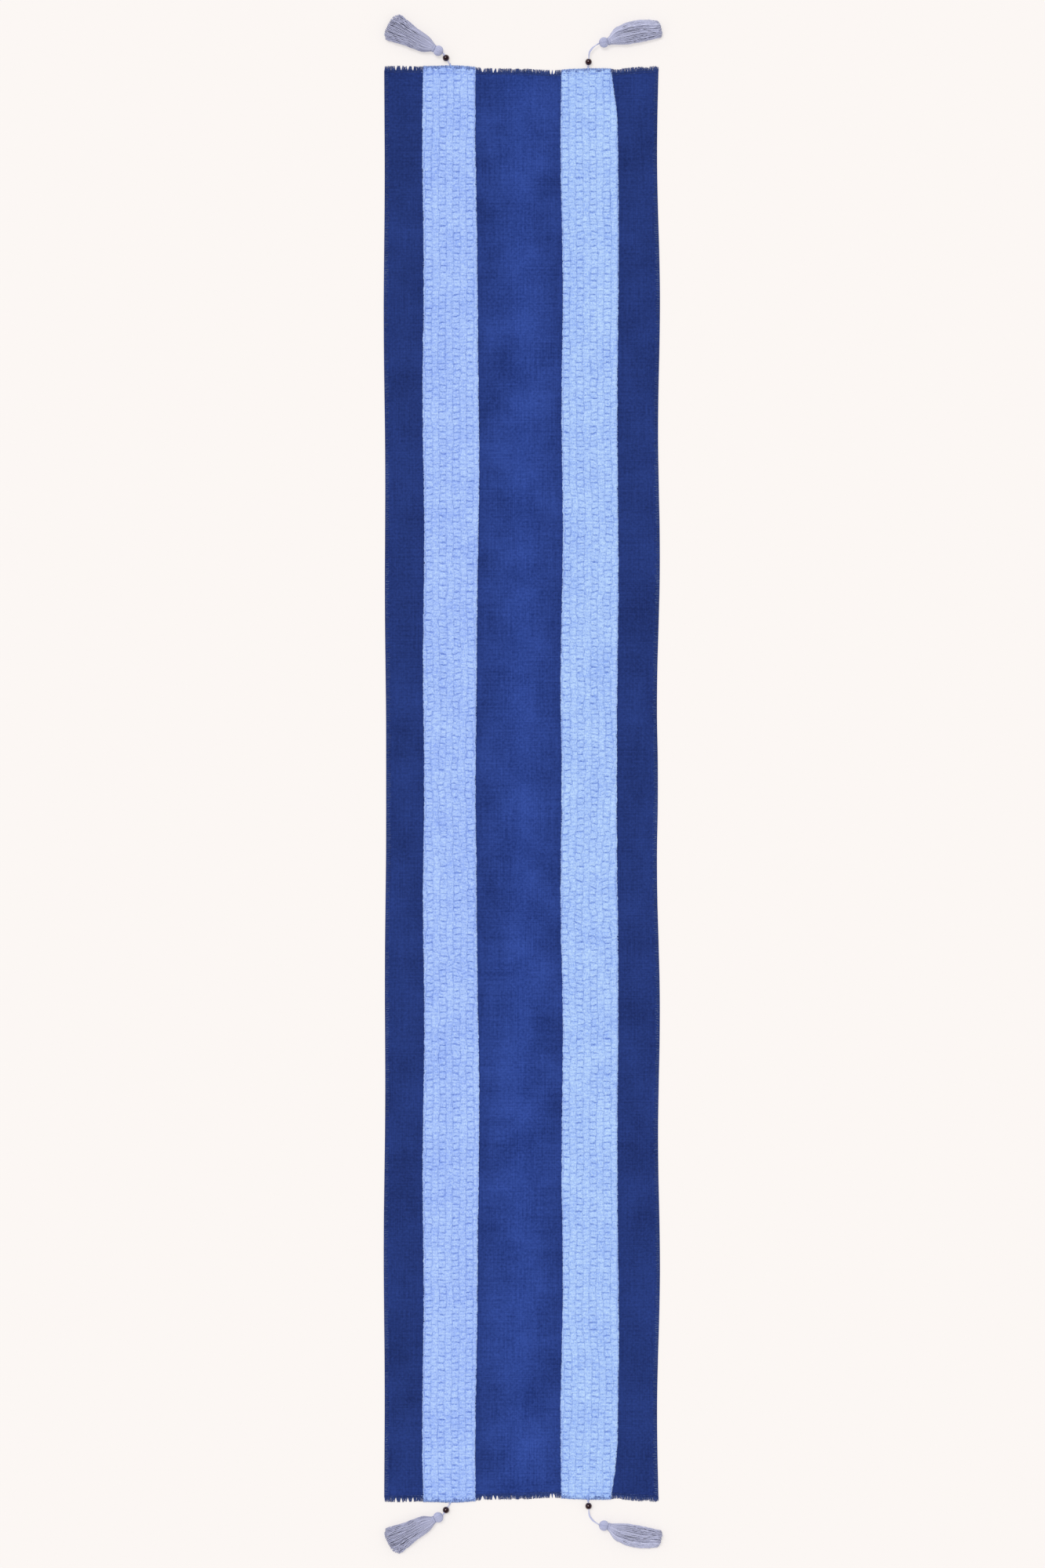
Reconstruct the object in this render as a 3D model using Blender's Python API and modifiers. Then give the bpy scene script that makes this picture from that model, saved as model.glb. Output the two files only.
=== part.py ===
"""Striped cotton table runner with a beaded tassel on each stripe's end.

The runner lies flat with its underside on Z = 0, its length along Y and its middle at the origin.
The two ends are the same, mirrored across the middle. Sizes are in metres.
"""

import math
from collections import namedtuple

import bmesh
import bpy
from mathutils import Matrix, Vector

# ------------------------------------------------------------------ driving sizes
GAP = 0.0003  # between pieces that touch

RUNNER_LENGTH = 1.8306  # along Y, over the fringes
RUNNER_WIDTH = 0.3492  # along X, between the long edges
CLOTH_THICK = 0.0009
FRINGE_LENGTH = 0.0055  # loose warp ends past the woven cloth
FRINGE_THICK = 0.0008

LEFT_STRIPE_CENTRE = -0.0912
LEFT_STRIPE_WIDTH = 0.0688
RIGHT_STRIPE_CENTRE = 0.0870
RIGHT_STRIPE_WIDTH = 0.0716
STRIPE_THICK = 0.0015
STRIPE_SETBACK = 0.0005  # from the fringe's tips to the stripe's end

THREAD_RADIUS = 0.00025
SIDE_STITCH_INSET = 0.0035  # from the cloth's long edge
STRIPE_STITCH_INSET = 0.0022  # from the stripe's long edge
STAY_STITCH_INSET = 0.0080  # from the fringe's tips
STITCH_BREAK = 0.0025  # where a lengthwise row stops short of the stay-stitching
CLIMB_LENGTH = 0.0014  # over which the stay-stitching rises onto a stripe
CLIMB_CLEARANCE = 0.0006  # from that rise to the stripe's edge

TACK_RADIUS = 0.0005  # bar tack that holds a tassel's cord to the stripe's end
TACK_LENGTH = 0.0043
TACK_SETBACK = 0.0020  # from the hem's end

KNOT_RADIUS = 0.0013
KNOT_HEIGHT = 0.0026  # height of the knot's centre, which both of its hinges pass through
CORD_RADIUS = 0.0012
CORD_CLEARANCE = 0.0003  # round the cord in a bore

BEAD_RADIUS = 0.00435
HEAD_RADIUS = 0.0067
NECK_RADIUS = 0.0034
NECK_LENGTH = 0.0036  # from the ball to the neck's end
MOUTH_RADIUS = 0.0026  # where the cord goes into the head
MOUTH_DEPTH = 0.0015
BINDING_THICK = 0.0008
BINDING_LENGTH = 0.0028

# ------------------------------------------------------------------ shape of the edges
Wave = namedtuple("Wave", "swing period crest")

# A long edge wanders sideways by these, counted from the runner's middle.
CLOTH_LEFT_WAVES = (Wave(0.0010, 1.30, 0.03), Wave(0.0006, 0.36, 0.05))
CLOTH_RIGHT_WAVES = (Wave(0.0014, 0.345, 0.28), Wave(0.0008, 0.94, 0.47))
LEFT_STRIPE_LEFT_WAVES = (Wave(0.0009, 0.335, 0.32), Wave(0.0005, 1.20, 0.15))
LEFT_STRIPE_RIGHT_WAVES = (Wave(0.0022, 0.90, 0.43), Wave(0.0004, 0.30, 0.10))
RIGHT_STRIPE_LEFT_WAVES = (Wave(0.0010, 0.335, 0.31), Wave(0.0008, 0.94, 0.47))
RIGHT_STRIPE_RIGHT_WAVES = (Wave(0.0008, 0.45, 0.71), Wave(0.0004, 1.10, 0.60))
# An end rises and falls by these across the runner.
END_WAVES = (Wave(0.0024, 0.34, -0.125), Wave(0.0007, 0.082, -0.165))

RIGHT_STRIPE_PULL = 0.0085  # how far the right stripe's outer edge draws in at its very end
RIGHT_STRIPE_PULL_REACH = 0.028

LONG_STEP = 0.060  # between outline points along the runner
CROSS_STEP = 0.022  # between outline points across it
THREAD_STEP = 0.120

# ------------------------------------------------------------------ the tassels as they lie
HEAD_RISE = HEAD_RADIUS - KNOT_HEIGHT  # from the knot's centre up to a head's that rests on the surface

# Each cord's route starts at the knot's centre: x, then y away from the cloth, then z above the knot. Its
# first two points set the straight stretch that the bead slides on. From its last one the cord goes into
# the head, whose centre is at head_at.
Lie = namedtuple("Lie", "knot_x route bead_at head_at axis_deg skirt")
# A skirt's sections: distance past the neck, sideways shift towards the tassel's left as seen from
# above at the +Y end, half width, thickness.
LEFT_LIE = Lie(
    knot_x=-0.0920,
    route=(
        (0.0, 0.0, 0.0),
        (-0.0069, 0.01080, 0.00333),
    ),
    bead_at=0.0090,
    head_at=(-0.0145, 0.01632, HEAD_RISE),
    axis_deg=152.2,
    skirt=(
        (0.0000, 0.0000, 0.0050, 0.0095),
        (0.0053, 0.0003, 0.0098, 0.0120),
        (0.0203, 0.0004, 0.0130, 0.0130),
        (0.0353, 0.0002, 0.0154, 0.0120),
        (0.0503, 0.0000, 0.0189, 0.0100),
        (0.0583, -0.0013, 0.0183, 0.0090),
        (0.0623, 0.0020, 0.0130, 0.0070),
    ),
)
RIGHT_LIE = Lie(
    knot_x=0.0849,
    route=(
        (0.0, 0.0, 0.0),
        (0.0010, 0.0148, 0.00445),
        (0.0021, 0.0187, 0.00470),
        (0.0054, 0.0233, 0.00450),
        (0.0092, 0.0264, 0.00425),
    ),
    bead_at=0.0062,
    head_at=(0.0200, 0.0305, HEAD_RISE),
    axis_deg=13.0,
    skirt=(
        (0.0000, 0.0012, 0.0050, 0.0095),
        (0.0053, 0.0034, 0.0100, 0.0120),
        (0.0163, 0.0040, 0.0134, 0.0130),
        (0.0303, 0.0044, 0.0150, 0.0120),
        (0.0443, 0.0036, 0.0146, 0.0110),
        (0.0563, 0.0024, 0.0130, 0.0100),
        (0.0658, 0.0008, 0.0110, 0.0080),
    ),
)
LIES = {"left": LEFT_LIE, "right": RIGHT_LIE}
ENDS = {"top": 1, "bottom": -1}  # which way along Y each end faces

CORD_STEP = 0.0026  # between a cord's points, about one diameter
TURN_STEPS = 16
ARC_POINTS = 9  # along a turned ball's side
SKIRT_SIDES = 14
THREAD_SIDES = 1  # bevel resolution of a sewing thread
CORD_SIDES = 2  # bevel resolution of a tassel's cord

# ------------------------------------------------------------------ finishes: sRGB colour, roughness
NAVY = ((40, 62, 128), 0.92)
NAVY_FRINGE = ((34, 54, 114), 0.95)
PALE_BLUE = ((159, 187, 243), 0.95)
NAVY_THREAD = ((58, 84, 152), 0.80)
PALE_THREAD = ((140, 168, 228), 0.80)
YARN = ((172, 175, 200), 0.90)
CORD_YARN = ((186, 190, 220), 0.85)
DARK_WOOD = ((48, 30, 30), 0.35)


def linear(colour):
    """An sRGB colour of 0 to 255 as linear RGBA."""
    shares = [value / 255 for value in colour]
    return [s / 12.92 if s <= 0.04045 else ((s + 0.055) / 1.055) ** 2.4 for s in shares] + [1.0]


def finish(obj, look):
    """Gives an object its own plain material."""
    colour, roughness = look
    material = bpy.data.materials.new(obj.name)
    material.use_nodes = True
    shader = material.node_tree.nodes["Principled BSDF"]
    shader.inputs["Base Color"].default_value = linear(colour)
    shader.inputs["Roughness"].default_value = roughness
    shader.inputs["Metallic"].default_value = 0.0
    obj.data.materials.append(material)


def added(name, data, look, location=(0.0, 0.0, 0.0)):
    """Puts a named object with its finish in the runner's collection."""
    obj = bpy.data.objects.new(name, data)
    obj.location = location
    bpy.data.collections[COLLECTION].objects.link(obj)
    finish(obj, look)
    return obj


# ------------------------------------------------------------------ edges
def wander(waves, at):
    """How far a wavy edge stands from its straight line at a distance along it."""
    return sum(w.swing * math.cos(math.tau * (at - w.crest) / w.period) for w in waves)


def long_edge(place, waves):
    """The x of a lengthwise edge as a function of y, the same in both halves."""
    return lambda y: place + wander(waves, abs(y))


def end_line(x):
    """The distance from the middle to the fringe's tips at x."""
    return RUNNER_LENGTH / 2 + wander(END_WAVES, x)


def right_stripe_outer(y):
    """The right stripe's outer edge, which draws in at both of its ends."""
    to_end = RUNNER_LENGTH / 2 - abs(y)
    pull = RIGHT_STRIPE_PULL * math.exp(-max(to_end, 0.0) / RIGHT_STRIPE_PULL_REACH)
    place = RIGHT_STRIPE_CENTRE + RIGHT_STRIPE_WIDTH / 2
    return place + wander(RIGHT_STRIPE_RIGHT_WAVES, abs(y)) - pull


CLOTH_EDGES = (
    long_edge(-RUNNER_WIDTH / 2, CLOTH_LEFT_WAVES),
    long_edge(RUNNER_WIDTH / 2, CLOTH_RIGHT_WAVES),
)
STRIPE_EDGES = {
    "left": (
        long_edge(LEFT_STRIPE_CENTRE - LEFT_STRIPE_WIDTH / 2, LEFT_STRIPE_LEFT_WAVES),
        long_edge(LEFT_STRIPE_CENTRE + LEFT_STRIPE_WIDTH / 2, LEFT_STRIPE_RIGHT_WAVES),
    ),
    "right": (
        long_edge(RIGHT_STRIPE_CENTRE - RIGHT_STRIPE_WIDTH / 2, RIGHT_STRIPE_LEFT_WAVES),
        right_stripe_outer,
    ),
}
STRIPE_BOTTOM = CLOTH_THICK + GAP
STRIPE_TOP = STRIPE_BOTTOM + STRIPE_THICK
SHOULDER = math.sqrt(HEAD_RADIUS**2 - NECK_RADIUS**2)  # from the head's centre to where its neck begins
NECK_END = SHOULDER + NECK_LENGTH
COLLECTION = "striped_table_runner"


def stations(start, end, step):
    """Evenly spaced values from start to end, no more than a step apart."""
    count = max(1, math.ceil(abs(end - start) / step))
    return [start + (end - start) * i / count for i in range(count + 1)]


def outline(left, right, low, high):
    """Anticlockwise outline between two long edges, x of y, and two end lines, y of x."""

    def corner_y(edge, end):
        return end(edge(end(edge(0.0))))

    up = stations(corner_y(right, low), corner_y(right, high), LONG_STEP)
    down = stations(corner_y(left, high), corner_y(left, low), LONG_STEP)
    back = stations(right(up[-1]), left(down[0]), CROSS_STEP)
    forth = stations(left(down[-1]), right(up[0]), CROSS_STEP)
    points = [(right(y), y) for y in up[:-1]]
    points += [(x, high(x)) for x in back[:-1]]
    points += [(left(y), y) for y in down[:-1]]
    points += [(x, low(x)) for x in forth[:-1]]
    return points


def patch(name, points, bottom, thick, look):
    """A flat piece of cloth with this outline."""
    curve = bpy.data.curves.new(name, "CURVE")
    curve.dimensions = "2D"
    curve.fill_mode = "BOTH"
    curve.extrude = thick / 2
    spline = curve.splines.new("POLY")
    spline.points.add(len(points) - 1)
    for target, (x, y) in zip(spline.points, points):
        target.co = (x, y, 0.0, 1.0)
    spline.use_cyclic_u = True
    return added(name, curve, look, (0.0, 0.0, bottom + thick / 2))


def tube(name, points, radius, sides, look, origin=(0.0, 0.0, 0.0)):
    """A round thread or cord along these world points, its own origin at origin."""
    curve = bpy.data.curves.new(name, "CURVE")
    curve.dimensions = "3D"
    curve.bevel_depth = radius
    curve.bevel_resolution = sides
    curve.use_fill_caps = True
    spline = curve.splines.new("POLY")
    spline.points.add(len(points) - 1)
    for target, point in zip(spline.points, points):
        target.co = (*(Vector(point) - Vector(origin)), 1.0)
    return added(name, curve, look, origin)


# ------------------------------------------------------------------ cloth, stripes and stitching
def make_cloth():
    """The navy ground cloth and the fringe at each of its ends."""
    left, right = CLOTH_EDGES

    def woven_end(x):
        return end_line(x) - FRINGE_LENGTH

    patch(
        "ground_cloth",
        outline(left, right, lambda x: GAP - woven_end(x), lambda x: woven_end(x) - GAP),
        0.0,
        CLOTH_THICK,
        NAVY,
    )
    for end, way in ENDS.items():
        tips = outline(
            left,
            right,
            lambda x: min(way * end_line(x), way * woven_end(x)),
            lambda x: max(way * end_line(x), way * woven_end(x)),
        )
        patch(f"end_fringe_{end}", tips, 0.0, FRINGE_THICK, NAVY_FRINGE)


def make_stripes():
    """The two pale strips laid along the cloth."""

    def stripe_end(x):
        return end_line(x) - STRIPE_SETBACK

    for side, (left, right) in STRIPE_EDGES.items():
        points = outline(left, right, lambda x: -stripe_end(x), stripe_end)
        patch(f"stripe_{side}", points, STRIPE_BOTTOM, STRIPE_THICK, PALE_BLUE)


def lengthwise_row(name, edge, inset, height, look):
    """A row of stitching beside a long edge, stopping short of the stay-stitching."""
    end = RUNNER_LENGTH / 2 - STAY_STITCH_INSET - STITCH_BREAK - sum(w.swing for w in END_WAVES)
    points = [(edge(y) + inset, y, height) for y in stations(-end, end, THREAD_STEP)]
    tube(name, points, THREAD_RADIUS, THREAD_SIDES, look)


def stay_stitching(end, way):
    """The row across an end, which climbs over each stripe."""
    low = CLOTH_THICK + GAP + THREAD_RADIUS
    high = STRIPE_TOP + GAP + THREAD_RADIUS
    at_end = RUNNER_LENGTH / 2 - STAY_STITCH_INSET
    far = CLIMB_CLEARANCE + CLIMB_LENGTH
    profile = [(CLOTH_EDGES[0](at_end) + SIDE_STITCH_INSET, low)]
    for side in ("left", "right"):
        first, last = (edge(at_end) for edge in STRIPE_EDGES[side])
        profile += [(first - far, low), (first - CLIMB_CLEARANCE, high)]
        profile += [(x, high) for x in stations(first, last, CROSS_STEP)[1:-1]]
        profile += [(last + CLIMB_CLEARANCE, high), (last + far, low)]
    profile += [(CLOTH_EDGES[1](at_end) - SIDE_STITCH_INSET, low)]
    points = [(x, way * (end_line(x) - STAY_STITCH_INSET), z) for x, z in profile]
    tube(f"stay_stitch_{end}", points, THREAD_RADIUS, THREAD_SIDES, NAVY_THREAD)


def make_stitching():
    """The rows that edge the cloth, hold the stripes down and stop each end from unravelling."""
    on_cloth = CLOTH_THICK + GAP + THREAD_RADIUS
    on_stripe = STRIPE_TOP + GAP + THREAD_RADIUS
    for side, edge, inward in zip(("left", "right"), CLOTH_EDGES, (1, -1)):
        inset = inward * SIDE_STITCH_INSET
        lengthwise_row(f"side_stitch_{side}", edge, inset, on_cloth, NAVY_THREAD)
    for side, edges in STRIPE_EDGES.items():
        for place, edge, inward in zip(("west", "east"), edges, (1, -1)):
            name = f"stripe_stitch_{side}_{place}"
            lengthwise_row(name, edge, inward * STRIPE_STITCH_INSET, on_stripe, PALE_THREAD)
    for end, way in ENDS.items():
        stay_stitching(end, way)


# ------------------------------------------------------------------ tassels
def smooth_points(route, step):
    """Points a step apart along a smooth curve through a route, which keeps its first stretch straight."""
    route = [Vector(point) for point in route]
    ends = [2 * route[0] - route[1], *route, 2 * route[-1] - route[-2]]
    fine = []
    for before, start, end, after in zip(ends, ends[1:], ends[2:], ends[3:]):
        straight = start == route[0]
        reach = (end - start).length
        leave = (end - before).normalized() * reach
        arrive = (after - start).normalized() * reach
        if straight:
            leave = end - start
            arrive = end - start
        elif start == route[1]:
            leave = (route[1] - route[0]).normalized() * reach
        for i in range(20):
            t = i / 20
            fine.append(
                start * (2 * t**3 - 3 * t**2 + 1)
                + leave * (t**3 - 2 * t**2 + t)
                + end * (3 * t**2 - 2 * t**3)
                + arrive * (t**3 - t**2)
            )
    fine.append(route[-1])
    run = [0.0]
    for start, end in zip(fine, fine[1:]):
        run.append(run[-1] + (end - start).length)
    kept = []
    for target in stations(KNOT_RADIUS + GAP, run[-1], step):
        i = max(k for k, length in enumerate(run[:-1]) if length <= target)
        share = (target - run[i]) / (run[i + 1] - run[i])
        kept.append(fine[i].lerp(fine[i + 1], min(share, 1.0)))
    return kept


def turned(name, profile, location, axis, look):
    """A turned piece: a closed profile of (radius, height), down its outer side first, spun round axis."""
    mesh = bpy.data.meshes.new(name)
    shape = bmesh.new()
    verts = [shape.verts.new((radius, 0.0, height)) for radius, height in profile]
    for first, second in zip(verts, verts[1:] + verts[:1]):
        shape.edges.new((first, second))
    shape.to_mesh(mesh)
    shape.free()
    obj = added(name, mesh, look, location)
    obj.rotation_mode = "QUATERNION"
    obj.rotation_quaternion = Vector(axis).to_track_quat("Z", "Y")
    screw = obj.modifiers.new("turn", "SCREW")
    screw.steps = TURN_STEPS
    screw.render_steps = TURN_STEPS
    screw.use_merge_vertices = True
    screw.merge_threshold = 0.00001
    screw.use_smooth_shade = True
    return obj


def ball_arc(radius, top, bottom):
    """(radius, height) points down a ball's side from one height to another."""
    start, end = math.acos(top / radius), math.acos(bottom / radius)
    angles = [start + (end - start) * i / (ARC_POINTS - 1) for i in range(ARC_POINTS)]
    return [(radius * math.sin(a), radius * math.cos(a)) for a in angles]


def bead(name, location, axis):
    """A wooden ball with a bore for the cord."""
    bore = CORD_RADIUS + CORD_CLEARANCE
    half = math.sqrt(BEAD_RADIUS**2 - bore**2)
    return turned(name, ball_arc(BEAD_RADIUS, half, -half), location, axis, DARK_WOOD)


def tassel_head(name, location, axis):
    """The yarn ball and its neck, bored through for the cord that is bound in at the neck."""
    bore = CORD_RADIUS + CORD_CLEARANCE
    mouth = -math.sqrt(HEAD_RADIUS**2 - MOUTH_RADIUS**2)
    profile = [(bore, NECK_END), (NECK_RADIUS, NECK_END)]
    profile += ball_arc(HEAD_RADIUS, SHOULDER, mouth)
    profile += [(bore, mouth + MOUTH_DEPTH)]
    return turned(name, profile, location, axis, YARN)


def neck_binding(name, location, axis):
    """The thread wound round the neck."""
    inner = NECK_RADIUS + GAP
    outer = inner + BINDING_THICK
    top = NECK_END - GAP
    bottom = top - BINDING_LENGTH
    edge = BINDING_THICK / 2
    profile = [
        (inner, top),
        (outer - edge / 2, top),
        (outer, top - edge),
        (outer, bottom + edge),
        (outer - edge / 2, bottom),
        (inner, bottom),
    ]
    return turned(name, profile, location, axis, CORD_YARN)


def skirt(name, centre, axis, sideways, sections, origin):
    """The bundle of hanging yarn, flattened where it lies, as one soft solid."""
    mesh = bpy.data.meshes.new(name)
    shape = bmesh.new()
    places = []
    for along, shift, half_width, thick in sections:
        middle = centre + axis * (NECK_END + GAP + along) + sideways * shift - Vector(origin)
        if places:
            middle.z = thick / 2 - origin[2]
        columns = (sideways * half_width, Vector((0.0, 0.0, thick / 2)), axis, middle)
        places.append(Matrix([[*row, 0.0] for row in columns]).transposed())
        places[-1][3][3] = 1.0
    bmesh.ops.create_circle(shape, segments=SKIRT_SIDES, radius=1.0, matrix=places[0])
    ring = list(shape.edges)
    for here, there in zip(places, places[1:]):
        grown = bmesh.ops.extrude_edge_only(shape, edges=ring)["geom"]
        verts = [item for item in grown if isinstance(item, bmesh.types.BMVert)]
        ring = [item for item in grown if isinstance(item, bmesh.types.BMEdge)]
        bmesh.ops.transform(shape, matrix=there @ here.inverted(), verts=verts)
    bmesh.ops.holes_fill(shape, edges=shape.edges, sides=SKIRT_SIDES)
    bmesh.ops.recalc_face_normals(shape, faces=shape.faces)
    shape.to_mesh(mesh)
    shape.free()
    mesh.shade_smooth()
    return added(name, mesh, YARN, origin)


def make_tassel(end, way, side):
    """One tassel: tack, knot, cord, bead, head, binding and skirt."""
    lie = LIES[side]
    place = f"{end}_{side}"
    hem = end_line(lie.knot_x)

    def turned_round(vector):
        return Vector((vector[0], way * vector[1], vector[2]))

    knot = turned_round((lie.knot_x, hem + GAP + KNOT_RADIUS, KNOT_HEIGHT))
    run = turned_round(lie.route[1]).normalized()
    flat_run = Vector((run.x, run.y, 0.0)).normalized()

    back = (GAP + KNOT_RADIUS + TACK_SETBACK) / abs(flat_run.y)
    tack = [knot - flat_run * (back + TACK_LENGTH * i / 2) for i in range(3)]
    for point in tack:
        point.z = STRIPE_TOP + GAP + TACK_RADIUS
    tube(f"bar_tack_{place}", tack, TACK_RADIUS, CORD_SIDES, CORD_YARN)

    ball = bpy.data.meshes.new(f"knot_{place}")
    shape = bmesh.new()
    bmesh.ops.create_uvsphere(shape, u_segments=12, v_segments=8, radius=KNOT_RADIUS)
    shape.to_mesh(ball)
    shape.free()
    ball.shade_smooth()
    added(f"knot_{place}", ball, CORD_YARN, knot)

    angle = math.radians(lie.axis_deg)
    axis = turned_round((math.cos(angle), math.sin(angle), 0.0))
    sideways = turned_round((-math.sin(angle), math.cos(angle), 0.0))
    head = knot + turned_round(lie.head_at)

    route = [knot + turned_round(point) for point in lie.route]
    route += [head - axis * HEAD_RADIUS, head, head + axis * (NECK_END - GAP)]
    cord = smooth_points(route, CORD_STEP)
    tube(f"cord_{place}", cord, CORD_RADIUS, CORD_SIDES, CORD_YARN, knot)

    bead(f"bead_{place}", knot + run * lie.bead_at, run)
    tassel_head(f"head_{place}", head, axis)
    neck_binding(f"binding_{place}", head, axis)
    skirt(f"skirt_{place}", head, axis, sideways, lie.skirt, knot)


def main():
    for obj in list(bpy.data.objects):
        bpy.data.objects.remove(obj, do_unlink=True)
    collection = bpy.data.collections.new(COLLECTION)
    bpy.context.scene.collection.children.link(collection)
    make_cloth()
    make_stripes()
    make_stitching()
    for end, way in ENDS.items():
        for side in LIES:
            make_tassel(end, way, side)


main()
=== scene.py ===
"""Looks of the striped table runner: cloth, raised stripes, stitching, fringes and beaded tassels.

Everything is in metres, in the frame's own axes: the runner lies on Z = 0 with its length along Y.
"""

import logging
import math
from dataclasses import dataclass, field
from enum import Enum

import bmesh
import bpy
import numpy as np
from mathutils import Matrix, Vector


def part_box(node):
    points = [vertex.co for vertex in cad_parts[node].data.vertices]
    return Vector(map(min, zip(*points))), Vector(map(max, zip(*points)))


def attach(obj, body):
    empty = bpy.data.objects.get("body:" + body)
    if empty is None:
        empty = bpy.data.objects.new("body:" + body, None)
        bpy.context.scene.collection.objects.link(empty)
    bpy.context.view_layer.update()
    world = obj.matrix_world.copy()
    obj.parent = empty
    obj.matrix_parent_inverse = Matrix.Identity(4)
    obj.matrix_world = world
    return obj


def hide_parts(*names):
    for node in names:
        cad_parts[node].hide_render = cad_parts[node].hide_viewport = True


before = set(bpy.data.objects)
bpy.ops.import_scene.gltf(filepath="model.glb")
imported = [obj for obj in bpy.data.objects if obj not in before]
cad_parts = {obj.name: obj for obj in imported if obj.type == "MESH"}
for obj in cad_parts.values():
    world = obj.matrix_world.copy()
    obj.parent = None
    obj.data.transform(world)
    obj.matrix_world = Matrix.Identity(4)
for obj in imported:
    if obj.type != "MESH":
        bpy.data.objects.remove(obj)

LOG = logging.getLogger("runner")
UP = Vector((0.0, 0.0, 1.0))


# ---------------------------------------------------------------------- shader sums
class Signal:
    """A number that runs through a material's nodes and takes part in Python sums."""

    def __init__(self, tree: bpy.types.NodeTree, socket: bpy.types.NodeSocket) -> None:
        """Wraps an output socket of the tree."""
        self.tree = tree
        self.socket = socket

    def sum(self, operation: str, *values: "Signal | float") -> "Signal":
        """Adds one Math node.

        Args:
            operation: the Math node's operation.
            values: its inputs, in order.

        Returns:
            What the node gives.
        """
        node = self.tree.nodes.new("ShaderNodeMath")
        node.operation = operation
        for socket, value in zip(node.inputs, values):
            if isinstance(value, Signal):
                self.tree.links.new(value.socket, socket)
            else:
                socket.default_value = value
        return Signal(self.tree, node.outputs[0])

    def __add__(self, other: "Signal | float") -> "Signal":
        """self + other."""
        return self.sum("ADD", self, other)

    __radd__ = __add__

    def __sub__(self, other: "Signal | float") -> "Signal":
        """self - other."""
        return self.sum("SUBTRACT", self, other)

    def __rsub__(self, other: float) -> "Signal":
        """other - self."""
        return self.sum("SUBTRACT", other, self)

    def __mul__(self, other: "Signal | float") -> "Signal":
        """self * other."""
        return self.sum("MULTIPLY", self, other)

    __rmul__ = __mul__

    def __truediv__(self, other: "Signal | float") -> "Signal":
        """self / other."""
        return self.sum("DIVIDE", self, other)

    def __abs__(self) -> "Signal":
        """The size of self."""
        return self.sum("ABSOLUTE", self)

    def wave(self, length: float) -> "Signal":
        """A sine of self that repeats after this length."""
        turned = self * (math.tau / length)
        return turned.sum("SINE", turned)

    def near(self, reach: float) -> "Signal":
        """1 where self is 0, falling to 0 at this reach."""
        return (1.0 - self / reach).held()

    def held(self) -> "Signal":
        """self kept between 0 and 1."""
        return self.sum("MINIMUM", self.sum("MAXIMUM", self, 0.0), 1.0)


Colour = tuple[int, int, int]  # sRGB, each from 0 to 255


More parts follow.
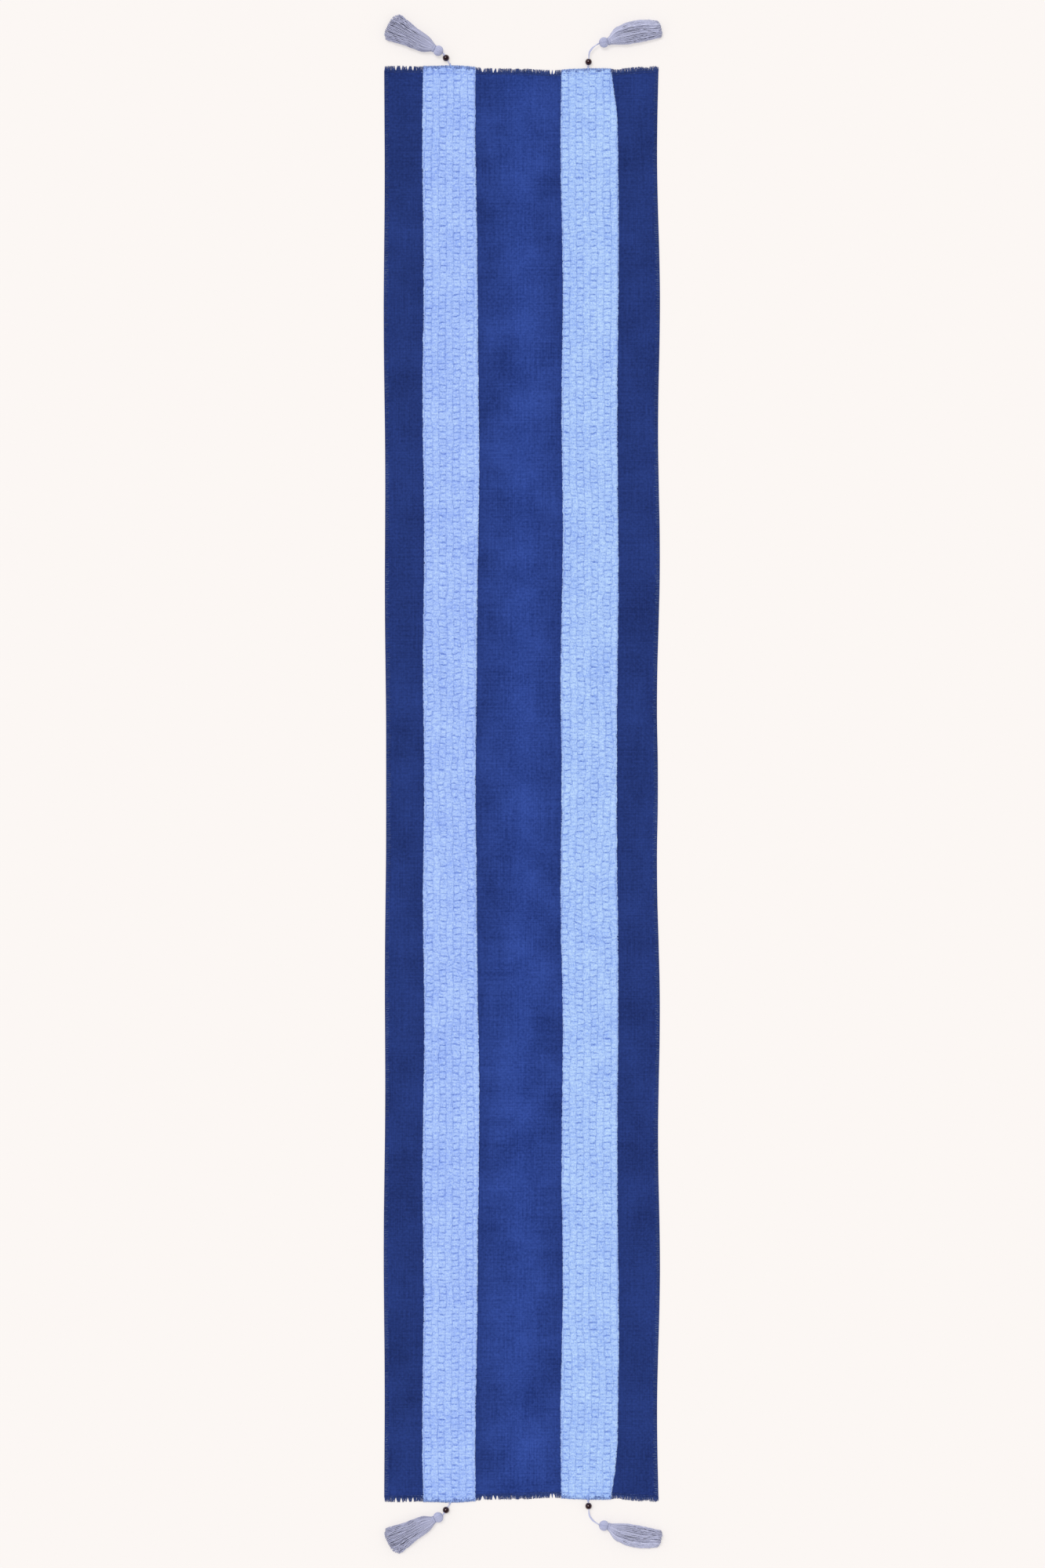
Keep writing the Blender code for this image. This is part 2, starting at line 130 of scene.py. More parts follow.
class Recipe:
    """One material in the making."""

    def __init__(self, name: str) -> None:
        """Starts a material of this name with only a Principled shader."""
        self.material = bpy.data.materials.new(name)
        self.material.use_nodes = True
        self.tree = self.material.node_tree
        self.shader = self.tree.nodes["Principled BSDF"]

    def node(
        self, kind: str, settings: dict | None = None, sockets: dict | None = None
    ) -> bpy.types.Node:
        """Adds any node.

        Args:
            kind: the node's type.
            settings: its own settings, which are made first.
            sockets: the values or links of its inputs, by name or number.

        Returns:
            The new node.
        """
        node = self.tree.nodes.new(kind)
        for name, value in (settings or {}).items():
            setattr(node, name, value)
        for name, value in (sockets or {}).items():
            self.feed(node.inputs[name], value)
        return node

    def feed(self, socket: bpy.types.NodeSocket, value: object) -> None:
        """Links a signal or socket to an input, or sets the input to a plain value."""
        if isinstance(value, Signal):
            self.tree.links.new(value.socket, socket)
        elif isinstance(value, bpy.types.NodeSocket):
            self.tree.links.new(value, socket)
        else:
            socket.default_value = value

    def place(self) -> tuple[bpy.types.NodeSocket, Signal, Signal, Signal]:
        """The Object coordinates whole and as x, y and z."""
        whole = self.node("ShaderNodeTexCoord").outputs["Object"]
        parts = self.node("ShaderNodeSeparateXYZ", {}, {"Vector": whole})
        x, y, z = (Signal(self.tree, parts.outputs[k]) for k in range(3))
        return whole, x, y, z

    def along_thread(self) -> tuple[Signal, Signal]:
        """A thread's own UV map: the share round it, and the metres along it."""
        uv = self.node("ShaderNodeUVMap").outputs[0]
        parts = self.node("ShaderNodeSeparateXYZ", {}, {"Vector": uv})
        return Signal(self.tree, parts.outputs[0]), Signal(self.tree, parts.outputs[1])

    def own(self, name: str) -> Signal:
        """A number that the mesh carries at each point."""
        attribute = self.node("ShaderNodeAttribute", {"attribute_name": name})
        return Signal(self.tree, attribute.outputs["Fac"])

    def noise(
        self,
        where: bpy.types.NodeSocket,
        per_metre: tuple[float, float, float],
        detail: float = 2.0,
    ) -> Signal:
        """Smooth noise from 0 to 1.

        Args:
            where: the coordinates that it is read at.
            per_metre: how many hills there are to a metre along x, y and z.
            detail: how many finer layers are added.

        Returns:
            The noise.
        """
        spread = self.node("ShaderNodeMapping", {}, {"Vector": where, "Scale": per_metre})
        layers = {"Vector": spread.outputs[0], "Scale": 1.0, "Detail": detail, "Roughness": 0.55}
        return Signal(self.tree, self.node("ShaderNodeTexNoise", {}, layers).outputs[0])

    def blended(self, share: Signal, low: object, high: object) -> bpy.types.NodeSocket:
        """A colour between two colours or sockets, by a share from 0 to 1."""
        mix = self.node("ShaderNodeMix", {"data_type": "RGBA"}, {0: share, 6: low, 7: high})
        return mix.outputs[2]

    def blend(self, share: Signal, low: Colour, high: Colour) -> bpy.types.NodeSocket:
        """A colour between two sRGB colours, by a share from 0 to 1."""
        return self.blended(share, linear(low), linear(high))

    def relief(self, height: Signal, depth: float) -> None:
        """Makes fine relief.

        Args:
            height: from 0 to 1.
            depth: the metres between them.
        """
        bump = self.node("ShaderNodeBump", {}, {"Height": height, "Distance": depth, "Strength": 1.0})
        self.feed(self.shader.inputs["Normal"], bump.outputs[0])

    def preset(self, **values: object) -> None:
        """Sets inputs of the shader to plain values, by name with _ for each space."""
        for name, value in values.items():
            self.shader.inputs[name.replace("_", " ")].default_value = value

    def done(
        self, colour: bpy.types.NodeSocket, roughness: "Signal | float", sheen: float = 0.0
    ) -> bpy.types.Material:
        """Feeds the shader and gives the material back."""
        self.feed(self.shader.inputs["Base Color"], colour)
        self.feed(self.shader.inputs["Roughness"], roughness)
        self.preset(Specular_IOR_Level=0.2, Sheen_Weight=sheen)
        return self.material


def linear(colour: Colour) -> tuple[float, float, float, float]:
    """An sRGB colour of 0 to 255 as linear RGBA."""
    shares = [value / 255 for value in colour]
    return (*[s / 12.92 if s <= 0.04045 else ((s + 0.055) / 1.055) ** 2.4 for s in shares], 1.0)


# ---------------------------------------------------------------------- finishes
@dataclass(frozen=True)
class GroundCotton:
    """Plain-woven navy cotton, paler down the middle of the runner."""

    thread: float = 0.00085  # from one thread to the next
    edge_dark: Colour = (20, 40, 99)
    edge_light: Colour = (39, 63, 136)
    middle_dark: Colour = (24, 49, 120)
    middle_light: Colour = (54, 82, 168)
    middle_reach: float = 0.085  # from the middle line to where the bands are at their darkest
    relief: float = 0.00022

    def material(self) -> bpy.types.Material:
        """Makes the material."""
        recipe = Recipe("ground_cotton")
        whole, x, y, _ = recipe.place()
        ends = recipe.noise(whole, (800, 12, 1)) + recipe.noise(whole, (12, 800, 1))
        clouds = recipe.noise(whole, (16, 16, 1), 4.0)
        grains = recipe.noise(whole, (330, 330, 1), 3.0)
        tone = ((ends - 1.0) * 0.9 + (clouds - 0.5) * 1.3 + (grains - 0.5) * 1.6 + 0.5).held()
        middle = (1.0 - abs(x) / self.middle_reach + (clouds - 0.5) * 0.5).held()
        bands = recipe.blend(tone, self.edge_dark, self.edge_light)
        centre = recipe.blend(tone, self.middle_dark, self.middle_light)
        warp, weft = x.wave(2 * self.thread), y.wave(2 * self.thread)
        weave = abs(warp) * 0.35 + abs(weft) * 0.35 + warp * weft * 0.3
        recipe.relief(weave, self.relief)
        return recipe.done(recipe.blended(middle, bands, centre), 0.92, 0.06)


@dataclass(frozen=True)
class StripeCotton:
    """Pale blue puckered cotton, with painted shade in a deeper blue down in its valleys and grooves."""

    name: str
    pale: Colour
    mid: Colour
    # painted shade: the deeper blue painted in the valleys and grooves, where shade falls
    valley_shade_colour: Colour = (84, 114, 200)
    block: float = 0.0088  # from one raised block to the next
    dash: float = 0.0013  # how far a block's crosswise groove and its painted shade fade out
    post: float = 0.0011  # and its lengthwise one
    ply: float = 0.0025  # from one thick thread to the next
    thread: float = 0.0011  # from one thin thread to the next
    relief: float = 0.00050

    def material(self) -> bpy.types.Material:
        """Makes the material."""
        recipe = Recipe(self.name)
        whole, x, y, _ = recipe.place()
        fine = recipe.noise(whole, (720, 460, 1), 2.0) + recipe.noise(whole, (460, 720, 1), 2.0)
        clouds = recipe.noise(whole, (24, 24, 1), 3.0)
        patches = recipe.noise(whole, (170, 170, 1), 2.0)
        jitter = recipe.noise(whole, (260, 260, 1), 1.0) * 0.0030 - 0.0015
        across, along = recipe.own("across") + jitter, recipe.own("along") - jitter
        column = across / self.block
        odd = column.sum("PINGPONG", column.sum("FLOOR", column), 1.0)
        row = along / self.block + odd * 0.5
        halves = along * 2.0 / self.block
        dashes = (row.sum("PINGPONG", row, 0.5) * self.block).near(self.dash) * (1.0 - odd * 0.45)
        posts = (column.sum("PINGPONG", column, 0.5) * self.block).near(self.post) * 0.7
        small = halves.sum("PINGPONG", halves, 0.5).near(0.26) * 0.35
        # breaks up the grooves and their painted shade at random
        groove_breaks = (recipe.noise(whole, (190, 190, 1), 2.0) * 3.0 - 0.85).held()
        shaded_grooves = dashes.sum("MAXIMUM", dashes.sum("MAXIMUM", dashes, small), posts) * groove_breaks
        ends, picks = across.wave(self.ply), along.wave(self.ply)
        swap = (recipe.noise(whole, (120, 120, 1), 1.0) * 5.0 - 2.0).held()
        strokes = ends * swap + picks * (1.0 - swap)
        uneven = (clouds - 0.5) * 0.9 + (patches - 0.5) * 1.0
        tone = ((fine - 1.0) * 1.7 + uneven + strokes * 0.07 + 0.50).held()
        # painted shade: the valleys and grooves are painted towards the deeper blue below, as the shade
        # in them
        painted_valley_shade = (recipe.own("valley") * (patches * 0.8 + 0.20) + shaded_grooves * 0.92).held()
        top = recipe.blend(tone, self.mid, self.pale)
        bottom = recipe.blend(tone, self.valley_shade_colour, self.mid)
        warp, weft = x.wave(2 * self.thread), y.wave(2 * self.thread)
        weave = (abs(warp) + abs(weft)) * 0.14 + (fine - 0.5) * 0.5 + strokes * 0.07 - shaded_grooves * 0.7
        recipe.relief(weave, self.relief)
        return recipe.done(recipe.blended(painted_valley_shade, top, bottom), 0.95, 0.05)


@dataclass(frozen=True)
class Yarn:
    """Twisted cotton yarn, cord or sewing thread; each thread has a tone of its own."""

    name: str
    dark: Colour
    light: Colour
    twist: float = 0.0016  # along the thread for one turn
    relief: float = 0.00015
    roughness: float = 0.9

    def material(self) -> bpy.types.Material:
        """Makes the material."""
        recipe = Recipe(self.name)
        whole, *_ = recipe.place()
        around, along = recipe.along_thread()
        plies = (around + along / self.twist).wave(0.5)
        fuzz = recipe.noise(whole, (2600, 2600, 2600))
        tone = (recipe.own("tone") + plies * 0.05 + (fuzz - 0.5) * 0.5).held()
        recipe.relief(plies * 0.35 + fuzz * 0.5, self.relief)
        return recipe.done(recipe.blend(tone, self.dark, self.light), self.roughness, 0.08)


@dataclass(frozen=True)
class StainedWood:
    """Dark stained wood with a fine grain and a light polish."""

    dark: Colour = (24, 13, 16)
    light: Colour = (72, 40, 45)

    def material(self) -> bpy.types.Material:
        """Makes the material."""
        recipe = Recipe("stained_wood")
        whole, *_ = recipe.place()
        grain = recipe.noise(whole, (1700, 260, 1700), 4.0)
        pores = recipe.noise(whole, (5200, 900, 5200), 2.0)
        tone = ((grain - 0.5) * 1.5 + (pores - 0.5) * 0.5 + 0.4).held()
        recipe.relief(grain * 0.7 + pores * 0.3, 0.00006)
        material = recipe.done(recipe.blend(tone, self.dark, self.light), 0.24 + grain * 0.10)
        recipe.preset(Specular_IOR_Level=0.85, Specular_Tint=(1.0, 0.80, 0.85, 1.0))
        recipe.preset(Coat_Weight=0.8, Coat_Roughness=0.22)
        return material


class Finish(Enum):
    """The finishes that the pieces are dressed in."""

    GROUND = GroundCotton()
    STRIPE_LEFT = StripeCotton("left_stripe_cotton", (192, 218, 255), (143, 172, 247))
    STRIPE_RIGHT = StripeCotton("right_stripe_cotton", (196, 224, 255), (147, 179, 247))
    FRINGE = Yarn("fringe_cotton", (26, 41, 92), (66, 93, 167), 0.0014, 0.0001)
    FRAY = Yarn("stripe_fray", (132, 160, 228), (186, 211, 255), 0.0015, 0.0001)
    DEEP_FRAY = Yarn("stripe_end_fray", (62, 90, 174), (184, 210, 255), 0.0015, 0.0001)
    NAVY_THREAD = Yarn("navy_thread", (32, 52, 112), (160, 188, 245), 0.0009, 0.00006)
    PALE_THREAD = Yarn("pale_thread", (138, 166, 230), (182, 207, 255), 0.0009, 0.00006)
    TASSEL = Yarn("tassel_yarn", (118, 119, 152), (216, 218, 243), 0.0030, 0.00012)
    CORD = Yarn("tassel_cord", (150, 153, 188), (208, 211, 238), 0.0034, 0.00010)
    WOOD = StainedWood()


class Wardrobe:
    """Makes each finish once and puts it on the pieces."""

    def __init__(self) -> None:
        """Starts with nothing made."""
        self.made: dict[Finish, bpy.types.Material] = {}

    def dress(self, piece: bpy.types.Object, finish: Finish) -> None:
        """Puts a finish on a piece."""
        if finish not in self.made:
            self.made[finish] = finish.value.material()
        piece.data.materials.clear()
        piece.data.materials.append(self.made[finish])


WARDROBE = Wardrobe()


# ---------------------------------------------------------------------- steady unevenness
def speckle(i: np.ndarray, j: np.ndarray, seed: float) -> np.ndarray:
    """A fixed share from 0 to 1 for each whole-numbered cell."""
    wave = np.sin(i * 127.1 + j * 311.7 + seed * 74.7) * 43758.5453
    return wave - np.floor(wave)


def rolling(x: np.ndarray, y: np.ndarray, size: float, seed: float) -> np.ndarray:
    """Smooth unevenness from -1 to 1, with hills about this size apart."""
    i, j = np.floor(x / size), np.floor(y / size)
    a, b = x / size - i, y / size - j
    a, b = a * a * (3 - 2 * a), b * b * (3 - 2 * b)
    low = speckle(i, j, seed) * (1 - a) + speckle(i + 1, j, seed) * a
    high = speckle(i, j + 1, seed) * (1 - a) + speckle(i + 1, j + 1, seed) * a
    return 2 * (low * (1 - b) + high * b) - 1


# ---------------------------------------------------------------------- reading the frame
def corner_points(node: str) -> np.ndarray:
    """The points of a CAD node's mesh at rest, each once."""
    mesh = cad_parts[node].data
    points = np.empty(len(mesh.vertices) * 3, np.float32)
    mesh.vertices.foreach_get("co", points)
    return np.unique(np.round(points.reshape(-1, 3).astype(float), 6), axis=0)


class Edge:
    """A wavy edge: where it stands, as a smooth function of the distance along it."""

    def __init__(self, along: np.ndarray, stands: np.ndarray) -> None:
        """Takes the places of the edge's points, in any order."""
        self.along, first = np.unique(along, return_index=True)
        self.stands = stands[first]
        self.slope = np.gradient(self.stands, self.along)

    def __call__(self, where: np.ndarray | float) -> np.ndarray:
        """Where the edge stands at these distances along it."""
        i = np.clip(np.searchsorted(self.along, where) - 1, 0, len(self.along) - 2)
        step = self.along[i + 1] - self.along[i]
        t = np.clip((where - self.along[i]) / step, 0, 1)
        low, high = self.stands[i], self.stands[i + 1]
        start = low * (2 * t**3 - 3 * t**2 + 1) + self.slope[i] * step * (t**3 - 2 * t**2 + t)
        return start + high * (3 * t**2 - 2 * t**3) + self.slope[i + 1] * step * (t**3 - t**2)


class FlatPiece:
    """The outline and the heights of a flat CAD piece, read from its mesh."""

    CORNER = 0.0160  # how near a side or end a point of it stands
    END = 0.0120

    def __init__(self, node: str) -> None:
        """Reads the node's four edges."""
        points = corner_points(node)
        low, high = points.min(0), points.max(0)
        self.bottom, self.top = float(low[2]), float(high[2])
        west = points[points[:, 0] < low[0] + self.CORNER]
        east = points[points[:, 0] > high[0] - self.CORNER]
        south = points[points[:, 1] < low[1] + self.END]
        north = points[points[:, 1] > high[1] - self.END]
        self.west, self.east = Edge(west[:, 1], west[:, 0]), Edge(east[:, 1], east[:, 0])
        self.south, self.north = Edge(south[:, 0], south[:, 1]), Edge(north[:, 0], north[:, 1])
        self.width = float(np.mean(self.east.stands) - np.mean(self.west.stands))
        self.length = float(np.mean(self.north.stands) - np.mean(self.south.stands))

    def place(self, across: np.ndarray, up: np.ndarray) -> tuple[np.ndarray, np.ndarray]:
        """The x and y of a point by its shares across and along the piece."""
        y = np.zeros_like(up)
        for _ in range(3):
            x = self.west(y) + (self.east(y) - self.west(y)) * across
            y = self.south(x) + (self.north(x) - self.south(x)) * up
        return x, y


def travelled(points: np.ndarray) -> np.ndarray:
    """How far along a line each of its points is."""
    return np.concatenate([[0], np.cumsum(np.linalg.norm(np.diff(points, axis=0), axis=1))])


# ---------------------------------------------------------------------- making meshes
def linked(name: str, data: bpy.types.ID) -> bpy.types.Object:
    """A new object at the origin, in the scene."""
    made = bpy.data.objects.new(name, data)
    bpy.context.scene.collection.objects.link(made)
    return made


def meshed(shape: bmesh.types.BMesh, name: str) -> bpy.types.Mesh:
    """A finished shape as a mesh."""
    mesh = bpy.data.meshes.new(name)
    shape.to_mesh(mesh)
    shape.free()
    return mesh


def new_piece(
    name: str, mesh: bpy.types.Mesh, finish: Finish, body: str, replaced: tuple[str, ...]
) -> bpy.types.Object:
    """Puts a finished mesh in the scene.

    Args:
        name: the piece's name.
        mesh: its mesh, in place.
        finish: what it is dressed in.
        body: the CAD body that it moves with.
        replaced: the CAD nodes that it stands for.

    Returns:
        The piece.
    """
    mesh.shade_smooth()
    piece = linked(name, mesh)
    WARDROBE.dress(piece, finish)
    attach(piece, body)
    if replaced:
        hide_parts(*replaced)
    LOG.info("%s: %d faces on %s", name, len(mesh.polygons), body)
    return piece


def read_points(mesh: bpy.types.Mesh) -> np.ndarray:
    """The places of a mesh's vertices, one row each."""
    points = np.empty(len(mesh.vertices) * 3)
    mesh.vertices.foreach_get("co", points)
    return points.reshape(-1, 3)


def carry(mesh: bpy.types.Mesh, name: str, values: np.ndarray) -> None:
    """Stores a number at each vertex for the material to read."""
    layer = mesh.attributes.new(name, "FLOAT", "POINT")
    layer.data.foreach_set("value", values.astype(np.float32))


def grown(made: dict) -> tuple[list, list]:
    """The new vertices and edges of an extrusion."""
    items = made["geom"]
    verts = [item for item in items if isinstance(item, bmesh.types.BMVert)]
    edges = [item for item in items if isinstance(item, bmesh.types.BMEdge)]
    return verts, edges


@dataclass
class Threads:
    """Any number of threads of one make, bundled into a single piece."""

    paths: np.ndarray  # threads, points along each, and x y z
    radii: np.ndarray  # threads, points along each
    tones: np.ndarray  # one for each thread
    sides: int = 4
    over: np.ndarray = field(default_factory=lambda: np.array(UP))  # which way a thread's top faces

    def template(self) -> bpy.types.Mesh:
        """One thread as a stack of unit rings, with a UV map."""
        shape = bmesh.new()
        bmesh.ops.create_circle(shape, segments=self.sides, radius=1.0)
        ring = list(shape.edges)
        for _ in range(self.paths.shape[1] - 1):
            verts, ring = grown(bmesh.ops.extrude_edge_only(shape, edges=ring))
            bmesh.ops.translate(shape, verts=verts, vec=UP)
        bmesh.ops.holes_fill(shape, edges=shape.edges, sides=self.sides)
        bmesh.ops.recalc_face_normals(shape, faces=shape.faces)
        uv = shape.loops.layers.uv.new("UVMap")
        for face in shape.faces:
            turns = [math.atan2(loop.vert.co.y, loop.vert.co.x) / math.tau % 1.0 for loop in face.loops]
            seam = max(turns) - min(turns) > 0.5
            for loop, turn in zip(face.loops, turns):
                loop[uv].uv = (turn + 1.0 if seam and turn < 0.5 else turn, loop.vert.co.z)
        return meshed(shape, "thread")

    def copies(self, template: bpy.types.Mesh, name: str) -> bpy.types.Mesh:
        """As many copies of the template as there are threads, one after another."""
        shape = bmesh.new()
        shape.from_mesh(template)
        one = [len(group) for group in (shape.verts, shape.edges, shape.faces)]
        made, wanted = 1, len(self.paths)
        while made < wanted:
            take = min(made, wanted - made)
            geom = []
            for group, size in zip((shape.verts, shape.edges, shape.faces), one):
                group.ensure_lookup_table()
                geom += group[: take * size]
            bmesh.ops.duplicate(shape, geom=geom)
            made += take
        return meshed(shape, name)

    def mesh(self, name: str) -> bpy.types.Mesh:
        """The whole bundle, every thread on its path."""
        template = self.template()
        unit = read_points(template)
        mesh = self.copies(template, name)
        bpy.data.meshes.remove(template)
        ring = np.round(unit[:, 2]).astype(int)
        ahead = np.gradient(self.paths, axis=1)
        ahead /= np.maximum(np.linalg.norm(ahead, axis=2, keepdims=True), 1e-12)
        side = np.cross(ahead, np.broadcast_to(self.over, self.paths.shape))
        side /= np.maximum(np.linalg.norm(side, axis=2, keepdims=True), 1e-9)
        rise = np.cross(ahead, side)
        reach = self.radii[:, ring, None]
        points = (
            self.paths[:, ring]
            + side[:, ring] * unit[None, :, 0:1] * reach
            + rise[:, ring] * unit[None, :, 1:2] * reach
        )
        mesh.vertices.foreach_set("co", points.reshape(-1))
        self.measure_uv(mesh, ring)
        carry(mesh, "tone", np.repeat(self.tones, len(unit)))
        mesh.update()
        return mesh

    def measure_uv(self, mesh: bpy.types.Mesh, ring: np.ndarray) -> None:
        """Turns the UV map's ring numbers into metres along each thread."""
        steps = np.linalg.norm(np.diff(self.paths, axis=1), axis=2)
        run = np.concatenate([np.zeros((len(steps), 1)), np.cumsum(steps, axis=1)], axis=1)
        corners = np.empty(len(mesh.loops), np.int32)
        mesh.loops.foreach_get("vertex_index", corners)
        thread, local = corners // len(ring), corners % len(ring)
        layer = mesh.uv_layers["UVMap"]
        uv = np.empty(len(mesh.loops) * 2, np.float32)
        layer.uv.foreach_get("vector", uv)
        uv[1::2] = run[thread, ring[local]]
        layer.uv.foreach_set("vector", uv)


def even(radius: float, paths: np.ndarray, taper: float = 1.0) -> np.ndarray:
    """The radii of threads that thin steadily to this share of their thickness."""
    return np.broadcast_to(np.linspace(radius, radius * taper, paths.shape[1]), paths.shape[:2]).copy()


def slab(piece: FlatPiece, cell: float, name: str) -> tuple[bpy.types.Mesh, np.ndarray]:
    """A closed sheet of fine cells between a flat piece's edges.

    Args:
        piece: the outline.
        cell: how large the cells are, at most.
        name: the mesh's name.

    Returns:
        The mesh, and for each vertex its share across, its share along, and its level: 0 on top, -1 half
        way down the rim and -2 at the bottom.
    """
    shape = bmesh.new()
    across, up = math.ceil(piece.width / cell), math.ceil(piece.length / cell)
    bmesh.ops.create_grid(shape, x_segments=across, y_segments=up, size=0.5)
    rim = [edge for edge in shape.edges if edge.is_boundary]
    for _ in range(2):
        verts, rim = grown(bmesh.ops.extrude_edge_only(shape, edges=rim))
        bmesh.ops.translate(shape, verts=verts, vec=-UP)
    bmesh.ops.edgeloop_fill(shape, edges=rim)
    bmesh.ops.recalc_face_normals(shape, faces=shape.faces)
    mesh = meshed(shape, name)
    shares = read_points(mesh)
    shares[:, :2] += 0.5
    return mesh, shares


def settled(mesh: bpy.types.Mesh, x: np.ndarray, y: np.ndarray, z: np.ndarray) -> None:
    """Moves a mesh's vertices to these places."""
    mesh.vertices.foreach_set("co", np.stack([x, y, z], axis=1).reshape(-1))
    mesh.update()


# ---------------------------------------------------------------------- cloth
@dataclass
class GroundCloth:
    """The navy cloth with its selvedge stitches, its rows of stitching and the fringe at each end."""

    cell: float = 0.0050
    ripple: float = 0.00012
    fringe_pitch: float = 0.00082
    fringe_radius: float = 0.00036
    fringe_splits: tuple[float, ...] = (  # where the tufts lean apart
        *(-0.161, -0.154, -0.146, -0.139, -0.050),
        *(-0.0366, -0.0315, 0.0371, 0.0406),
    )
    split_half: float = 0.0015  # how far the threads beside a split lean away from it
    whip_pitch: float = 0.0017
    whip_length: float = 0.0046
    whip_radius: float = 0.00022
    stitch_length: float = 0.0030
    stitch_gap: float = 0.0013
    thread_radius: float = 0.00020
    outline: FlatPiece = field(default_factory=lambda: FlatPiece("ground_cloth"))

    def cloth(self) -> bpy.types.Object:
        """The woven sheet itself."""
        mesh, shares = slab(self.outline, self.cell, "runner_ground")
        x, y = self.outline.place(shares[:, 0], shares[:, 1])
        level = shares[:, 2]
        out = np.where(level < -0.5, 0.0002, 0.0) * np.sign(shares[:, 0] - 0.5)
        x = x + out * (np.abs(shares[:, 0] - 0.5) > 0.499)
        top = self.outline.top + self.ripple * (rolling(x, y, 0.06, 3) + 0.5 * rolling(x, y, 0.02, 4))
        below = np.where(level > -1.5, self.outline.top * 0.5, self.outline.bottom)
        settled(mesh, x, y, np.where(level > -0.5, top, below))
        nodes = ("ground_cloth",)
        return new_piece("runner_ground", mesh, Finish.GROUND, "runner", nodes)

    def fringe(self, end: str, way: int) -> bpy.types.Object:
        """The loose warp ends past the woven cloth, in leaning tufts.

        Args:
            end: the end's name.
            way: 1 at the +Y end and -1 at the other.

        Returns:
            The fringe.
        """
        points = corner_points(f"end_fringe_{end}")
        stops = np.unique(np.round(points[:, 0], 3))
        reach = [way * points[np.abs(points[:, 0] - x) < 0.0006][:, 1] for x in stops]
        tips = Edge(stops, way * np.array([ends.max() for ends in reach]))
        root = Edge(stops, way * np.array([ends.min() for ends in reach]))
        side = self.outline
        rng = np.random.default_rng(11)
        west, east = (float(edge(way * side.length / 2)) for edge in (side.west, side.east))
        count = int((east - west) / self.fringe_pitch)
        x = np.linspace(west + 0.0004, east - 0.0004, count) + rng.normal(0, 0.00015, count)
        x, layer = np.concatenate([x, x + self.fringe_pitch / 2]), np.repeat([0.0, 1.0], count)
        total = len(x)
        lean = 0.0007 * rolling(x, x * 0, 0.009, 5) + 0.0005 * rolling(x, x * 0, 0.0035, 6)
        lean = lean + rng.normal(0, 0.00025, total)
        short = rng.uniform(0.0, 0.0012, total) + 0.0012 * (rolling(x, x * 0, 0.006, 7) > 0.55)
        for split in self.fringe_splits:
            off = x - split
            lean = lean + np.sign(off) * self.split_half * np.exp(-((off / 0.0022) ** 2))
            short = short + 0.0035 * (np.abs(off) < 0.0006)
        steps = np.linspace(0.0, 1.0, 5)[None, :]
        start, stop = root(x) - way * 0.0012, tips(x) - way * short
        px = x[:, None] + lean[:, None] * steps**1.4 + 0.0002 * rng.normal(0, 1, (total, 5)) * steps
        py = start[:, None] + (stop - start)[:, None] * steps
        height = 0.00038 + layer * 0.00035 + rng.uniform(0, 0.0003, total)
        pz = np.maximum(height[:, None] * (1 - 0.25 * steps), self.fringe_radius + 0.00002)
        paths = np.stack([px, py, pz], axis=2)
        # painted shade: the lower layer of threads is a little darker, as the shade under the upper one
        tones = np.clip(rng.normal(0.52, 0.16, total) - 0.10 * (1 - layer), 0, 1)
        mesh = Threads(paths, even(self.fringe_radius, paths, 0.6), tones).mesh(f"end_fringe_{end}")
        name, nodes = f"fringe_threads_{end}", (f"end_fringe_{end}",)
        return new_piece(name, mesh, Finish.FRINGE, "runner", nodes)

    def whipping(self, side: str, inward: int) -> bpy.types.Object:
        """The short pale stitches just inside a long edge.

        Args:
            side: which long edge.
            inward: 1 where inward is +X, -1 where it is -X.

        Returns:
            The stitches.
        """
        edge = self.outline.west if inward > 0 else self.outline.east
        rng = np.random.default_rng(21 if inward > 0 else 22)
        reach = self.outline.length / 2 - 0.002
        y = np.arange(-reach, reach, self.whip_pitch)
        y = y + rng.normal(0, 0.0003, len(y))
        start = rng.normal(0.0006, 0.0003, len(y))
        long = self.whip_length * rng.uniform(0.55, 1.15, len(y))
        steps = np.linspace(0.0, 1.0, 5)[None, :]
        px = edge(y)[:, None] + inward * (start[:, None] + long[:, None] * steps)
        py = y[:, None] + rng.normal(0.0003, 0.0004, len(y))[:, None] * (steps - 0.5)
        pz = self.outline.top + 0.00026 * np.sin(math.pi * steps) ** 0.6 + 0 * y[:, None]
        paths = np.stack([px, py, pz], axis=2)
        tones = np.clip(0.20 + 0.10 * rolling(y, y * 0, 0.05, 8) + rng.normal(0, 0.07, len(y)), 0, 1)
        name, nodes = f"selvedge_stitches_{side}", (f"side_stitch_{side}",)
        mesh = Threads(paths, even(self.whip_radius, paths), tones).mesh(name)
        return new_piece(name, mesh, Finish.NAVY_THREAD, "runner", nodes)

